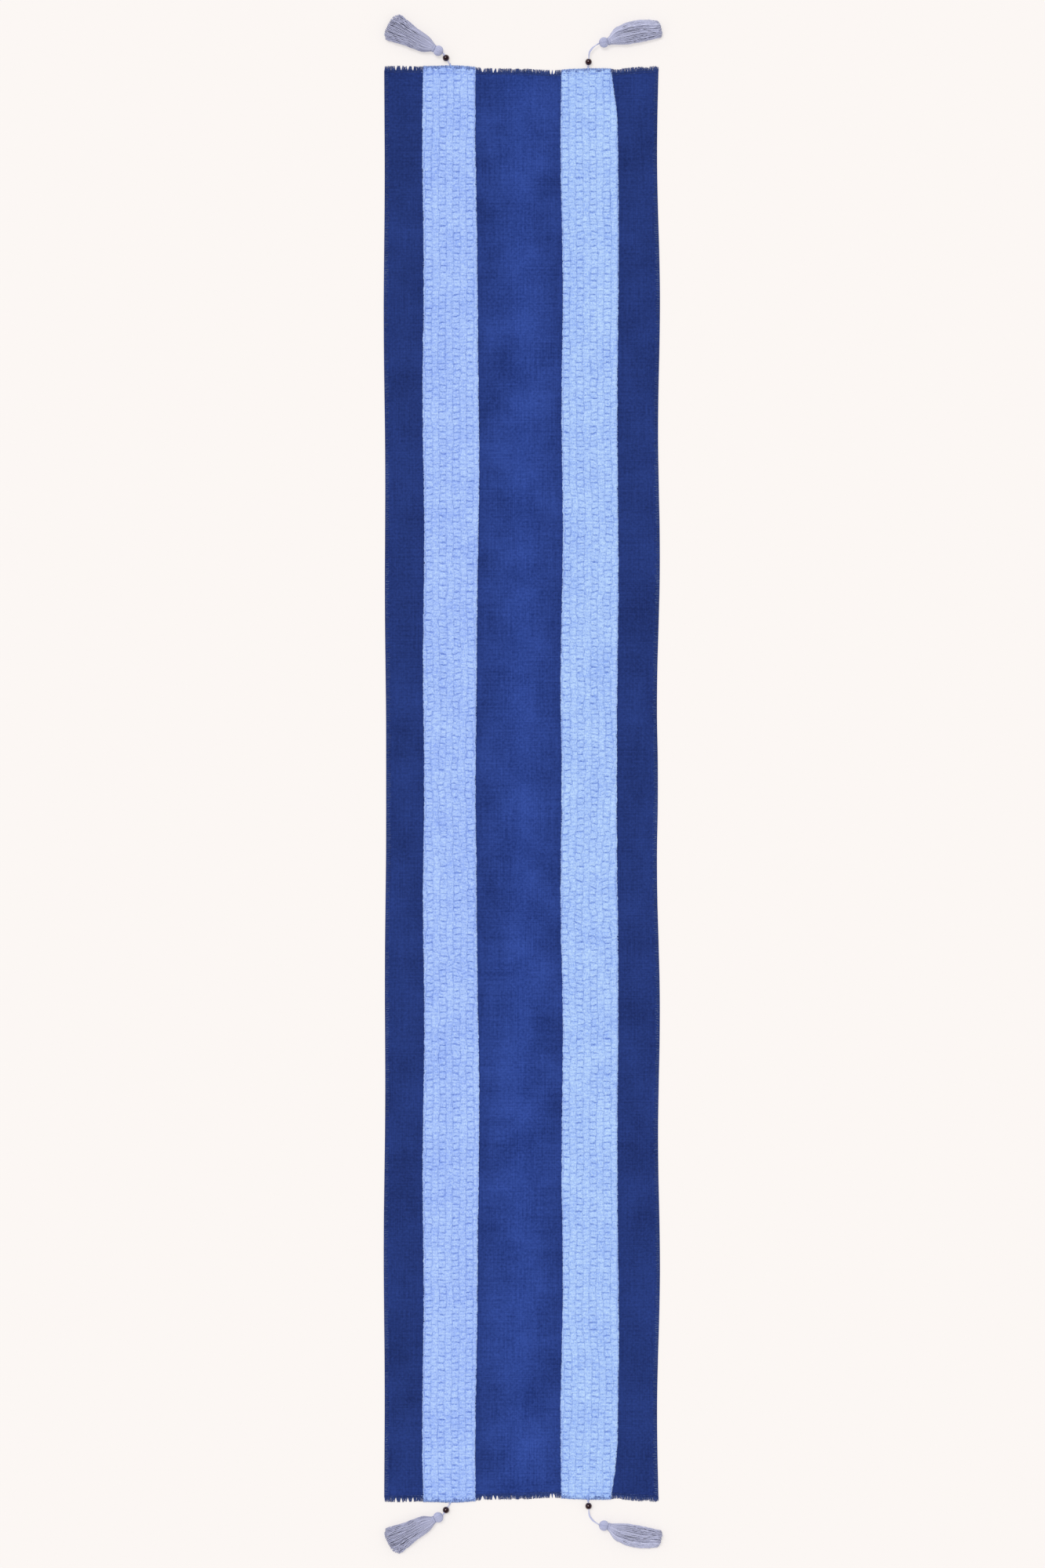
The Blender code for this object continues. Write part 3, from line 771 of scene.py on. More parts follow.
    def running_row(
        self, name: str, line: np.ndarray, node: str, finish: Finish, pale_above: float
    ) -> bpy.types.Object:
        """A row of running stitches along a line.

        Args:
            name: the piece's name.
            line: the points that the row follows.
            node: the CAD row that it stands for.
            finish: its thread.
            pale_above: stitches higher than this lie on a stripe, and are as pale as it is.

        Returns:
            The row.
        """
        run = travelled(line)
        rng = np.random.default_rng(len(name))
        starts = np.arange(0.0, run[-1] - self.stitch_length, self.stitch_length + self.stitch_gap)
        steps = np.linspace(0.0, 1.0, 5)[None, :]
        at = starts[:, None] + self.stitch_length * steps + rng.normal(0, 0.0001, (len(starts), 1))
        paths = np.stack([np.interp(at, run, line[:, k]) for k in range(3)], axis=2)
        on_stripe = paths[:, :, 2].mean(1) > pale_above
        paths[:, :, 2] -= 0.00035 * (1 - np.sin(math.pi * steps) ** 0.5) + 0.0006 * on_stripe[:, None]
        tones = np.clip(rng.normal(0.14, 0.06, len(starts)) + 0.75 * on_stripe, 0, 1)
        mesh = Threads(paths, even(self.thread_radius, paths), tones).mesh(name)
        return new_piece(name, mesh, finish, "runner", (node,))

    def end_row(self, end: str) -> bpy.types.Object:
        """The stitching across an end, which climbs over each stripe."""
        points = corner_points(f"stay_stitch_{end}")
        stops = np.unique(np.round(points[:, 0], 3))
        line = np.array([points[np.abs(points[:, 0] - x) < 0.0006].mean(0) for x in stops])
        name, node = f"end_stitches_{end}", f"stay_stitch_{end}"
        return self.running_row(name, line, node, Finish.NAVY_THREAD, 2 * self.outline.top)

    def build(self) -> bpy.types.Object:
        cloth = self.cloth()
        sewn = [self.fringe("top", 1), self.fringe("bottom", -1)]
        sewn += [self.whipping("left", 1), self.whipping("right", -1)]
        sewn += [self.end_row("top"), self.end_row("bottom")]
        return cloth


@dataclass
class Stripe:
    """One pale puckered strip with its frayed edges and ends."""

    side: str
    ground: GroundCloth
    seed: int
    cell: float = 0.00128
    block: float = StripeCotton.block
    crown: float = 0.00035  # how far the raised blocks swell
    groove: float = 0.00085  # how deep the valleys between them are
    fray_pitch: float = 0.00125
    fray_radius: float = 0.00040
    end_fray_radius: float = 0.00030
    end_straight: int = 170  # threads in an end's fray
    end_curly: int = 60
    outline: FlatPiece = field(init=False)

    def __post_init__(self) -> None:
        """Reads the strip's outline."""
        self.outline = FlatPiece(f"stripe_{self.side}")

    def drifted(self, x: np.ndarray, y: np.ndarray) -> tuple[np.ndarray, np.ndarray]:
        """Coordinates in which the puckers are even: they wander, most of all half way along.

        Args:
            x: across the runner.
            y: along it.

        Returns:
            The same, drifted.
        """
        seed = self.seed
        wild = 0.0013 + 0.0014 * np.exp(-((y / 0.42) ** 2))
        px = x + wild * rolling(x, y, 0.013, seed) + 0.0022 * rolling(x * 0, y, 0.11, seed + 1)
        py = y + wild * rolling(x, y, 0.011, seed + 2) + 0.0016 * rolling(x, y, 0.05, seed + 3)
        return px, py

    def valleys(self, x: np.ndarray, y: np.ndarray, px: np.ndarray, py: np.ndarray) -> np.ndarray:
        """How deep in a valley of the puckers each point is, from 0 to 1.

        Args:
            x: across the runner.
            y: along it.
            px: x in the puckers' drifted coordinates.
            py: y in them.

        Returns:
            The shares.
        """
        column = px / self.block
        c = np.floor(column)
        row = py / self.block + 0.5 * np.mod(c, 2)
        k = np.round(row)
        off = np.abs(row - k) * self.block
        within = np.minimum(column - c, 1 - column + c) * self.block
        fade = (0.35 + 0.65 * speckle(c, k, self.seed + 4)) * (1.0 - 0.45 * np.mod(c, 2))
        dash = np.exp(-((off / 0.0009) ** 2)) * np.clip(within / 0.0012, 0.25, 1) * fade
        strength = 0.15 + 0.45 * speckle(np.round(column), k, self.seed + 5)
        post = np.exp(-((within / 0.0007) ** 2)) * strength
        middle = 0.4 + 0.6 * np.exp(-((y / 0.5) ** 2))
        loose = np.clip(rolling(x, y, 0.0042, self.seed + 6) - 0.35, 0, 1) * middle
        from_end = self.outline.length / 2 - np.abs(y)
        frayed = np.clip(rolling(x, y, 0.0026, self.seed + 11) * 2 - 0.2, 0, 0.9)
        frayed = frayed * np.clip(1.6 - from_end / 0.0036, 0, 1)
        return np.clip(np.maximum.reduce([dash, post, loose * 0.8, frayed]), 0, 1)

    def cloth(self) -> bpy.types.Object:
        """The puckered strip itself."""
        name = f"stripe_cloth_{self.side}"
        mesh, shares = slab(self.outline, self.cell, name)
        across, level = shares[:, 0], shares[:, 2]
        x, y = self.outline.place(across, shares[:, 1])
        px, py = self.drifted(x, y)
        valley = self.valleys(x, y, px, py)
        tufts = 0.00012 * rolling(x, y, 0.0016, self.seed + 7)
        tufts = tufts + 0.00012 * rolling(x, y, 0.0032, self.seed + 8)
        middle = (self.outline.top + self.outline.bottom) / 2
        crown = self.crown * (1 + 0.6 * rolling(x, y, 0.009, self.seed + 9))
        lift = crown - self.groove * valley + tufts
        from_edge = np.minimum(across, 1 - across) * self.outline.width
        from_end = np.minimum(shares[:, 1], 1 - shares[:, 1]) * self.outline.length
        rise = np.clip(np.minimum(from_edge, from_end) / 0.0022, 0, 1) ** 0.6
        top = middle - 0.0002 + (lift + 0.0002) * rise
        below = np.where(level > -1.5, middle - 0.0005, self.outline.bottom)
        z = np.where(level > -0.5, top, below)
        side = np.sign(across - 0.5)
        row = py / self.block
        notch = np.abs(row - np.round(row)) * self.block
        bite = np.exp(-((notch / 0.0011) ** 2)) * speckle(np.round(row), side, self.seed + 12)
        ragged = 0.0005 * rolling(side, y, 0.0024, self.seed + 10)
        ragged = ragged + 0.0005 * rolling(side, y, 0.007, self.seed)
        x = x + (ragged - 0.0009 * bite * side) * np.clip(1 - from_edge / 0.003, 0, 1)
        settled(mesh, x, y, z)
        # valley also sets how much painted shade the material puts on each point
        for attribute, values in (("valley", valley), ("across", px), ("along", py)):
            carry(mesh, attribute, values)
        nodes = (f"stripe_{self.side}",)
        finish = Finish.STRIPE_LEFT if self.side == "left" else Finish.STRIPE_RIGHT
        return new_piece(name, mesh, finish, "runner", nodes)

    def edge_fray(self, place: str, outward: int) -> bpy.types.Object:
        """The loose crosswise threads along a long edge.

        Args:
            place: the edge's name.
            outward: 1 where outward is +X, -1 where it is -X.

        Returns:
            The threads.
        """
        edge = self.outline.east if outward > 0 else self.outline.west
        rng = np.random.default_rng(self.seed * 10 + outward)
        reach = self.outline.length / 2 - 0.001
        y = np.arange(-reach, reach, self.fray_pitch)
        y = y + rng.normal(0, 0.0003, len(y))
        longer = 0.0003 * np.clip(rolling(y, y * 0, 0.006, 12), 0, 1)
        long = 0.0001 + rng.gamma(1.2, 0.00012, len(y)) + longer
        long = np.clip(long, 0.0001, 0.0014)
        inside = rng.uniform(0.0012, 0.0022, len(y))
        steps = np.linspace(0.0, 1.0, 5)[None, :]
        skew = rng.normal(0, 0.0006, len(y)) + 0.0005 * rolling(y, y * 0, 0.008, 13)
        px = edge(y)[:, None] + outward * (-inside[:, None] + (inside + long)[:, None] * steps)
        py = y[:, None] + skew[:, None] * steps**1.5 + rng.normal(0, 0.00012, (len(y), 5)) * steps
        high, low = self.outline.top - 0.0007, self.ground.outline.top + self.fray_radius + 0.0001
        lift = rng.uniform(-0.0002, 0.0003, len(y))[:, None] * (1 - steps)
        pz = high + (low - high) * steps**1.3 + lift
        paths = np.stack([px, py, np.maximum(pz, low)], axis=2)
        tones = np.clip(rng.normal(0.5, 0.2, len(y)), 0, 1)
        name = f"stripe_fray_{self.side}_{place}"
        mesh = Threads(paths, even(self.fray_radius, paths, 0.55), tones).mesh(name)
        return new_piece(name, mesh, Finish.FRAY, "runner", ())

    def end_fray(self, end: str, way: int) -> bpy.types.Object:
        """The tangle of darker threads at an end of the strip.

        Args:
            end: the end's name.
            way: 1 at the +Y end and -1 at the other.

        Returns:
            The threads.
        """
        tips = self.outline.north if way > 0 else self.outline.south
        rng = np.random.default_rng(self.seed * 10 + 5)
        west, east = float(self.outline.west(way * 0.912)), float(self.outline.east(way * 0.912))
        straight, count = self.end_straight, self.end_straight + self.end_curly
        loose = np.arange(count) >= straight
        comb = np.linspace(west, east, straight)[np.arange(count) % straight]
        x = np.where(loose, rng.uniform(west, east, count), comb)
        x = np.clip(x + rng.normal(0, 0.0003, count), west + 0.0007, east - 0.0007)
        back = np.where(loose, rng.uniform(0.0012, 0.0048, count), rng.uniform(0.0004, 0.0016, count))
        turn = rng.normal(0, 1, count) * np.where(loose, 1.3, 0.28)
        long = np.where(loose, rng.uniform(0.0020, 0.0042, count), rng.uniform(0.0022, 0.0036, count))
        steps = np.linspace(-0.5, 0.5, 6)[None, :]
        bend = rng.normal(0, 1, count) * np.where(loose, 0.0008, 0.0002)
        bow = bend[:, None] * (0.25 - steps**2) * 4
        px = x[:, None] + long[:, None] * steps * np.sin(turn)[:, None] + bow * np.cos(turn)[:, None]
        px = np.clip(px, west + 0.0003, east - 0.0003)
        py = long[:, None] * steps * np.cos(turn)[:, None] - bow * np.sin(turn)[:, None] - back[:, None]
        py = np.minimum(py, 0.0009)
        lift = rng.uniform(-0.0003, 0.0002, count)[:, None] - 0.0005 * (2 * steps) ** 4
        pz = self.outline.top - 0.0004 + lift - 0.0008 * np.clip(py / 0.0009, 0, 1)
        paths = np.stack([px, tips(px) + way * py, pz], axis=2)
        tones = np.clip(rng.normal(0.6, 0.25, count) - 0.35 * loose, 0, 1)
        name = f"stripe_end_fray_{end}_{self.side}"
        mesh = Threads(paths, even(self.end_fray_radius, paths, 0.8), tones).mesh(name)
        return new_piece(name, mesh, Finish.DEEP_FRAY, "runner", ())

    def stitches(self, place: str) -> bpy.types.Object:
        """The row of stitching that holds down a long edge."""
        node = f"stripe_stitch_{self.side}_{place}"
        points = corner_points(node)
        stops = np.unique(np.round(points[:, 1], 2))
        knots = np.array([points[np.abs(points[:, 1] - y) < 0.006].mean(0) for y in stops])
        across, height = Edge(knots[:, 1], knots[:, 0]), Edge(knots[:, 1], knots[:, 2])
        y = np.linspace(knots[0, 1], knots[-1, 1], 600)
        line = np.stack([across(y), y, height(y) - 0.0003], axis=1)
        name = f"stripe_stitches_{self.side}_{place}"
        return self.ground.running_row(name, line, node, Finish.PALE_THREAD, 0.0)

    def build(self) -> bpy.types.Object:
        cloth = self.cloth()
        loose = [self.edge_fray("west", -1), self.edge_fray("east", 1)]
        loose += [self.end_fray("top", 1), self.end_fray("bottom", -1)]
        loose += [self.stitches("west"), self.stitches("east")]
        return cloth


# ---------------------------------------------------------------------- tassels
@dataclass(frozen=True)
class Lie:
    """How one tassel lies: the shape of its cord and the way that it points."""

    route: tuple[tuple[float, float, float], ...]  # from the knot: x, y away from the cloth, z
    head_at: tuple[float, float, float]
    bead_at: float
    axis_deg: float
    ply_turn: float  # where the cord's two strands start round each other
    end_bow: float  # how much shorter the skirt is at its sides than at its middle
    # the skirt's end: its distance from the head's centre, sideways shift, half width, half thickness
    fan_end: tuple[float, float, float, float]
    paler: float  # how much paler its yarn is than the middle tone


HEAD_RISE = 0.0041
LIES = {
    "left": Lie(
        route=((0.0, 0.0, 0.0), (-0.0069, 0.01080, 0.00333)),
        head_at=(-0.0145, 0.01632, HEAD_RISE),
        bead_at=0.0090,
        axis_deg=152.2,
        ply_turn=0.25,
        end_bow=0.0075,
        fan_end=(0.0728, 0.0004, 0.0203, 0.0036),
        paler=-0.05,
    ),
    "right": Lie(
        route=(
            (0.0, 0.0, 0.0),
            (0.0010, 0.0148, 0.00445),
            (0.0021, 0.0187, 0.00470),
            (0.0054, 0.0233, 0.00450),
            (0.0092, 0.0264, 0.00425),
        ),
        head_at=(0.0200, 0.0305, HEAD_RISE),
        bead_at=0.0062,
        axis_deg=13.0,
        ply_turn=0.0,
        end_bow=0.0028,
        fan_end=(0.0758, 0.0008, 0.0112, 0.0038),
        paler=0.09,
    ),
}


def smooth_route(route: list[Vector], start: float, step: float) -> np.ndarray:
    """Even points along a smooth curve through a route, which keeps its first stretch straight.

    Args:
        route: the points that the curve passes.
        start: how far along it the first point is.
        step: the most between two points.

    Returns:
        The points, one row each.
    """
    ends = [2 * route[0] - route[1], *route, 2 * route[-1] - route[-2]]
    fine = []
    for before, first, last, after in zip(ends, ends[1:], ends[2:], ends[3:]):
        reach = (last - first).length
        leave, arrive = (last - before).normalized() * reach, (after - first).normalized() * reach
        if first == route[0]:
            leave = arrive = last - first
        elif first == route[1]:
            leave = (route[1] - route[0]).normalized() * reach
        for t in np.arange(20) / 20:
            fine.append(
                first * (2 * t**3 - 3 * t**2 + 1)
                + leave * (t**3 - 2 * t**2 + t)
                + last * (3 * t**2 - 2 * t**3)
                + arrive * (t**3 - t**2)
            )
    points = np.array([*fine, route[-1]])
    run = travelled(points)
    at = np.linspace(start, run[-1], math.ceil((run[-1] - start) / step) + 1)
    return np.stack([np.interp(at, run, points[:, k]) for k in range(3)], axis=1)


def turned_shape(profile: list[tuple[float, float]], steps: int) -> bmesh.types.BMesh:
    """A profile of (radius, height) spun right round Z."""
    shape = bmesh.new()
    verts = [shape.verts.new((radius, 0.0, height)) for radius, height in profile]
    edges = [shape.edges.new(pair) for pair in zip(verts, verts[1:] + verts[:1])]
    bmesh.ops.spin(
        shape, geom=verts + edges, cent=(0, 0, 0), axis=UP, angle=math.tau, steps=steps, use_merge=True
    )
    bmesh.ops.remove_doubles(shape, verts=shape.verts, dist=0.000001)
    bmesh.ops.recalc_face_normals(shape, faces=shape.faces)
    return shape


def arc(radius: float, first: float, last: float, count: int) -> list[tuple[float, float]]:
    """Points (radius, height) down a ball's side between two angles from its pole."""
    return [(radius * math.sin(a), radius * math.cos(a)) for a in np.linspace(first, last, count)]


@dataclass
class Tassel:
    """One tassel with its cord: tack, knot, cord, bead, head, neck binding and skirt."""

    end: str
    way: int
    side: str
    knot_radius: float = 0.0013
    gap: float = 0.0003
    cord_radius: float = 0.0012
    ply_radius: float = 0.00064
    ply_pitch: float = 0.040
    bead_radius: float = 0.00435
    bead_bore: float = 0.0015
    head_radius: float = 0.0067
    neck_radius: float = 0.0042
    cad_neck_radius: float = 0.0034  # the bare neck, under the yarn
    neck_length: float = 0.0036
    tack_sunk: float = 0.0008  # how far the tack is pulled down into the cloth
    tack_turns: float = 7.0
    tack_radius: float = 0.00062  # of its winding
    mouth_radius: float = 0.0022  # where the cord enters the head
    head_yarns: int = 46
    head_yarn_radius: float = 0.00050
    binding_thread: float = 0.00027
    binding_turns: float = 3.6
    strand_radius: float = 0.00044
    strands: tuple[int, ...] = (98, 64, 40)  # in each ring, from the outside in
    ring_shares: tuple[float, ...] = (1.0, 0.80, 0.55)
    # painted shade: the inner rings are given darker tones, as the shade inside the skirt
    ring_shade_tones: tuple[float, ...] = (0.62, 0.36, 0.20)
    lock: int = 4  # strands that cling together
    strand_points: int = 16
    strand_wave: float = 0.0004
    fullness: float = 1.3  # how far the yarn springs out as it leaves the neck

    def __post_init__(self) -> None:
        """Reads the tassel's place from the frame."""
        self.place = f"{self.end}_{self.side}"
        self.lie = LIES[self.side]
        low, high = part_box(f"knot_{self.place}")
        self.knot = (low + high) / 2
        self.knot.y = (high.y - self.knot_radius) if self.way > 0 else (low.y + self.knot_radius)
        angle = math.radians(self.lie.axis_deg)
        self.axis = self.mirrored((math.cos(angle), math.sin(angle), 0.0))
        self.sideways = self.mirrored((-math.sin(angle), math.cos(angle), 0.0))
        self.head_centre = self.knot + self.mirrored(self.lie.head_at)
        self.shoulder = math.sqrt(self.head_radius**2 - self.neck_radius**2)
        self.neck_end = math.sqrt(self.head_radius**2 - self.cad_neck_radius**2) + self.neck_length
        self.run = self.mirrored(self.lie.route[1]).normalized()
        self.rng = np.random.default_rng(700 + 10 * list(LIES).index(self.side))

    def mirrored(self, vector: tuple[float, float, float]) -> Vector:
        """A direction of the +Y end as it is at this tassel's end."""
        return Vector((vector[0], self.way * vector[1], vector[2]))

    def piece(
        self, name: str, mesh: bpy.types.Mesh, finish: Finish, part: str, node: str, slot: str
    ) -> bpy.types.Object:
        """Puts in one of the tassel's pieces.

        Args:
            name: its name, without the tassel's place.
            mesh: its mesh, in place.
            finish: what it is dressed in.
            part: the moving part that it belongs to: tassel, bead, knot, or runner for the cloth.
            node: the CAD node that it stands for, without its place, or nothing.
            slot: a material slot's name; not used.

        Returns:
            The piece.
        """
        body = part if part == "runner" else f"{part}_{self.place}"
        nodes = (f"{node}_{self.place}",) if node else ()
        return new_piece(f"{name}_{self.place}", mesh, finish, body, nodes)

    def put(self, shape: bmesh.types.BMesh, name: str, centre: Vector, axis: Vector) -> bpy.types.Mesh:
        """Turns a shape made round Z onto an axis, moves it to its place and makes it a mesh."""
        turn = axis.to_track_quat("Z", "Y").to_matrix().to_4x4()
        bmesh.ops.transform(shape, matrix=Matrix.Translation(centre) @ turn, verts=shape.verts)
        return meshed(shape, name)

    # ------------------------------------------------------------------ cord
    def plies(self, line: np.ndarray, turn: float) -> np.ndarray:
        """Two strands that wind slowly round each other along a line."""
        ahead = np.gradient(line, axis=0)
        ahead /= np.linalg.norm(ahead, axis=1, keepdims=True)
        side = np.cross(ahead, np.array(UP))
        side /= np.linalg.norm(side, axis=1, keepdims=True)
        rise = np.cross(side, ahead)
        run = travelled(line)
        strands = []
        for half in (0.0, 0.5):
            angle = math.tau * (turn + half + run / self.ply_pitch)[:, None]
            off = self.cord_radius - self.ply_radius
            strands.append(line + off * (np.cos(angle) * side + np.sin(angle) * rise))
        return np.array(strands)

    def cord(self) -> bpy.types.Object:
        """The two-strand cord from the knot through the bead into the head's neck."""
        route = [self.knot + self.mirrored(point) for point in self.lie.route]
        centre, axis = self.head_centre, self.axis
        route += [centre - axis * self.head_radius, centre, centre + axis * (self.neck_end - self.gap)]
        line = smooth_route(route, self.knot_radius + self.gap, 0.0007)
        paths = self.plies(line, self.lie.ply_turn)
        bundle = Threads(paths, even(self.ply_radius, paths), np.array([0.72, 0.82]), 10)
        mesh = bundle.mesh(f"cord_{self.place}")
        piece = self.piece("cord_strands", mesh, Finish.CORD, "tassel", "cord", "tassel_cord")
        return piece

    def knot_ball(self) -> bpy.types.Object:
        """The overhand knot that the cord hangs from, as a thread wound through itself."""
        turns = np.linspace(0, math.tau, 61)
        size, thick = self.knot_radius * 0.36, self.knot_radius * 0.40
        x = size * (np.sin(turns) + 1.35 * np.sin(2 * turns))
        y = size * (np.cos(turns) - 1.35 * np.cos(2 * turns))
        z = size * 0.9 * -np.sin(3 * turns)
        paths = (np.stack([x, y, z], axis=1) + np.array(self.knot))[None]
        mesh = Threads(paths, even(thick, paths), np.array([0.55]), 8).mesh(f"knot_{self.place}")
        return self.piece("cord_knot", mesh, Finish.CORD, "knot", "knot", "tassel_cord")

    def tack(self) -> bpy.types.Object:
        """The wound bar tack, and the stretch of cord from it over the hem to the knot."""
        low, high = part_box(f"bar_tack_{self.place}")
        flat = Vector((self.run.x, self.run.y, 0.0)).normalized()
        middle = (low + high) / 2 - UP * self.tack_sunk
        half = abs((high.y - low.y) / flat.y) / 2
        near, far = middle + flat * half, middle - flat * half
        end = self.knot - self.run * self.knot_radius * 0.6
        over = [far, middle, near, near.lerp(end, 0.5) + UP * 0.0004, end]
        line = smooth_route(over, 0.0, 0.0006)
        count = len(line) * 4  # the winding needs more points than the strands under it
        angle = np.linspace(0, self.tack_turns * math.tau, count)[:, None]
        share = np.linspace(0.08, 0.92, count)[:, None]
        core = np.array(far) + (np.array(near) - np.array(far)) * share
        side = np.array(flat.cross(UP))
        wound = core + self.tack_radius * (np.cos(angle) * side + np.sin(angle) * np.array(UP))
        new, old = np.linspace(0, 1, count), np.linspace(0, 1, len(line))
        fine = [
            np.stack([np.interp(new, old, strand[:, k]) for k in range(3)], axis=1)
            for strand in self.plies(line, 0.0)
        ]
        paths = np.array([*fine, wound])
        radii = even(1.0, paths) * np.array([[0.00045], [0.00045], [0.00021]])
        mesh = Threads(paths, radii, np.array([0.5, 0.45, 0.3]), 6).mesh(f"bar_tack_{self.place}")
        return self.piece("hem_tack", mesh, Finish.PALE_THREAD, "runner", "bar_tack", "tassel_cord")

    def bead(self) -> bpy.types.Object:
        """The turned wooden ball, its bore's edges rounded."""
        open_angle = math.asin(self.bead_bore / self.bead_radius)
        shape = turned_shape(arc(self.bead_radius, open_angle, math.pi - open_angle, 22), 40)
        lips = [
            edge
            for edge in shape.edges
            if all(abs(vert.co.xy.length - self.bead_bore) < 0.00002 for vert in edge.verts)
            and abs(edge.verts[0].co.z - edge.verts[1].co.z) < 0.00002
        ]
        bmesh.ops.bevel(
            shape, geom=lips, offset=0.0004, segments=3, profile=0.5, affect="EDGES", material=-1
        )
        centre = self.knot + self.run * self.lie.bead_at
        mesh = self.put(shape, f"bead_{self.place}", centre, self.run)
        return self.piece("wood_bead", mesh, Finish.WOOD, "bead", "bead", "bead_wood")

    # ------------------------------------------------------------------ head
    def from_axis(self, along: np.ndarray, angle: np.ndarray, out: np.ndarray) -> np.ndarray:
        """Places by the distance past the head's centre, the angle round the axis and how far out."""
        flat = (out * np.cos(angle))[..., None] * np.array(self.sideways)
        spots = along[..., None] * np.array(self.axis) + flat
        return np.array(self.head_centre) + spots + (out * np.sin(angle))[..., None] * np.array(UP)

    def core(self) -> bpy.types.Object:
        """The ball under the head's yarn, with its bore and its neck."""
        bore, radius = self.bead_bore, self.head_radius - self.head_yarn_radius
        neck = self.neck_radius - self.head_yarn_radius
        profile = [(bore, self.neck_end), (neck, self.neck_end)]
        profile += arc(radius, math.asin(neck / radius), math.pi - math.asin(bore / radius), 24)
        shape = turned_shape(profile, 48)
        mesh = self.put(shape, f"core_{self.place}", self.head_centre, self.axis)
        # painted shade: the core is given a dark tone, as the shade between the yarns over it
        carry(mesh, "tone", np.full(len(mesh.vertices), 0.2))
        mesh.uv_layers.new(name="UVMap", do_init=False)
        return self.piece("head_core", mesh, Finish.CORD, "tassel", "", "tassel_yarn")

    def head(self) -> bpy.types.Object:
        """The yarns laid over the ball, from the cord's mouth to the neck."""
        thick, count = self.head_yarn_radius, self.head_yarns
        radius, neck = self.head_radius - thick, self.neck_radius - thick * 0.5
        mouth = math.pi - math.asin(self.mouth_radius / radius)
        over = np.linspace(mouth, math.asin(neck / radius), 14)
        along = np.append(radius * np.cos(over), self.shoulder + 0.0010)
        out = np.append(radius * np.sin(over), neck)
        start = (np.arange(count) + self.rng.uniform(-0.28, 0.28, count)) / count * math.tau
        swirl = np.linspace(0.0, 0.22, len(along))
        angle = start[:, None] + swirl[None, :] + self.rng.normal(0, 0.012, (count, len(along)))
        uneven = 1 + self.rng.normal(0, 0.008, (count, 1))
        paths = self.from_axis(along[None, :] + 0 * angle, angle, out[None, :] * uneven)
        squeeze = np.clip(out / self.head_radius, 0.55, 1.0)
        radii = thick * squeeze[None, :] * self.rng.uniform(0.92, 1.1, (count, 1))
        tones = np.clip(self.rng.normal(0.66, 0.08, count), 0, 1)
        outward = paths - np.array(self.head_centre)
        mesh = Threads(paths, radii, tones, 5, outward).mesh(f"head_{self.place}")
        return self.piece("yarn_head", mesh, Finish.CORD, "tassel", "head", "tassel_yarn")

    def binding(self) -> bpy.types.Object:
        """The thread wound round the neck."""
        thick = self.binding_thread
        turns = np.linspace(0.0, self.binding_turns, 110)
        along = self.shoulder + thick * (1.2 + 1.9 * turns)
        out = np.full(len(turns), self.neck_radius + self.gap + thick)
        paths = self.from_axis(along, turns * math.tau, out)[None]
        axis = np.array(self.axis)
        mesh = Threads(paths, even(thick, paths), np.array([0.6]), 8, axis).mesh(f"binding_{self.place}")
        return self.piece("neck_winding", mesh, Finish.CORD, "tassel", "binding", "tassel_cord")

    # ------------------------------------------------------------------ skirt
    def fan(self) -> list[Edge]:
        """The skirt along its axis: its sideways shift, half width, half thickness and height."""
        points = corner_points(f"skirt_{self.place}") - np.array([*self.head_centre.xy, 0.0])
        along, across = points @ np.array(self.axis), points @ np.array(self.sideways)
        neck = self.neck_radius + 0.0001
        rows = [(self.shoulder + 0.0007, 0.0, neck, neck, self.head_centre.z)]
        for stop in np.unique(np.round(along, 4)):
            near = np.abs(along - stop) < 0.0003
            if stop - rows[-1][0] > 0.001:
                low, high, heights = across[near].min(), across[near].max(), points[near, 2]
                size = ((high - low) / 2, np.ptp(heights) / 2 / 0.974)
                rows.append((stop, (low + high) / 2, *size, (heights.min() + heights.max()) / 2))
        end = self.lie.fan_end
        rows = np.array([*rows[:-2], (*end, end[3])])
        rows[1, 2] *= self.fullness
        return [Edge(rows[:, 0], rows[:, k]) for k in range(1, 5)]

    def ring_of_strands(self, count: int, share: float, fan: list[Edge]) -> np.ndarray:
        """The paths of a ring of strands inside the skirt.

        Args:
            count: how many there are.
            share: how far out the ring is, 1 at the skirt's surface.
            fan: the skirt's shape along its axis.

        Returns:
            The paths.
        """
        rng = self.rng
        angles = (np.arange(count) + rng.uniform(-0.35, 0.35, count)) / count * math.tau
        t = np.linspace(0, 1, self.strand_points)[None, :]
        root, end = fan[0].along[0], fan[0].along[-1]
        bow = self.lie.end_bow * np.abs(np.cos(angles)) ** 4
        stop = end - bow - np.abs(rng.normal(0, 0.0008, count)) - 0.0015 * (1 - share)
        along = root + (stop[:, None] - root) * t**1.15
        lock = self.lock * (0.7 + 0.6 * rng.random())
        clump = (np.floor(np.arange(count) / lock) + 0.5) * lock / count * math.tau
        cling = np.clip((t - 0.3) / 0.6, 0, 1) * rng.uniform(0.15, 0.60, (count, 1))
        sway = 0.07 * rng.normal(0, 1, (count, 1))
        sway = sway * np.sin(math.pi * t * rng.uniform(0.8, 1.8, (count, 1)))
        angle = angles[:, None] + (clump - angles)[:, None] * cling + sway * t
        waves = along / rng.uniform(0.014, 0.024, (count, 1)) + rng.random((count, 1))
        depth = share - 0.05 * rng.random((count, 1)) - 0.05 * (1 + np.sin(math.tau * waves)) * t
        shift, wide, tall, middle = (edge(along) for edge in fan)
        across = shift + np.cos(angle) * depth * (wide - self.strand_radius)
        across = across + self.strand_wave * np.sin(math.tau * waves * 1.3) * t
        height = middle + np.sin(angle) * depth * (tall - self.strand_radius)
        paths = np.array((*self.head_centre.xy, 0.0)) + along[..., None] * np.array(self.axis)
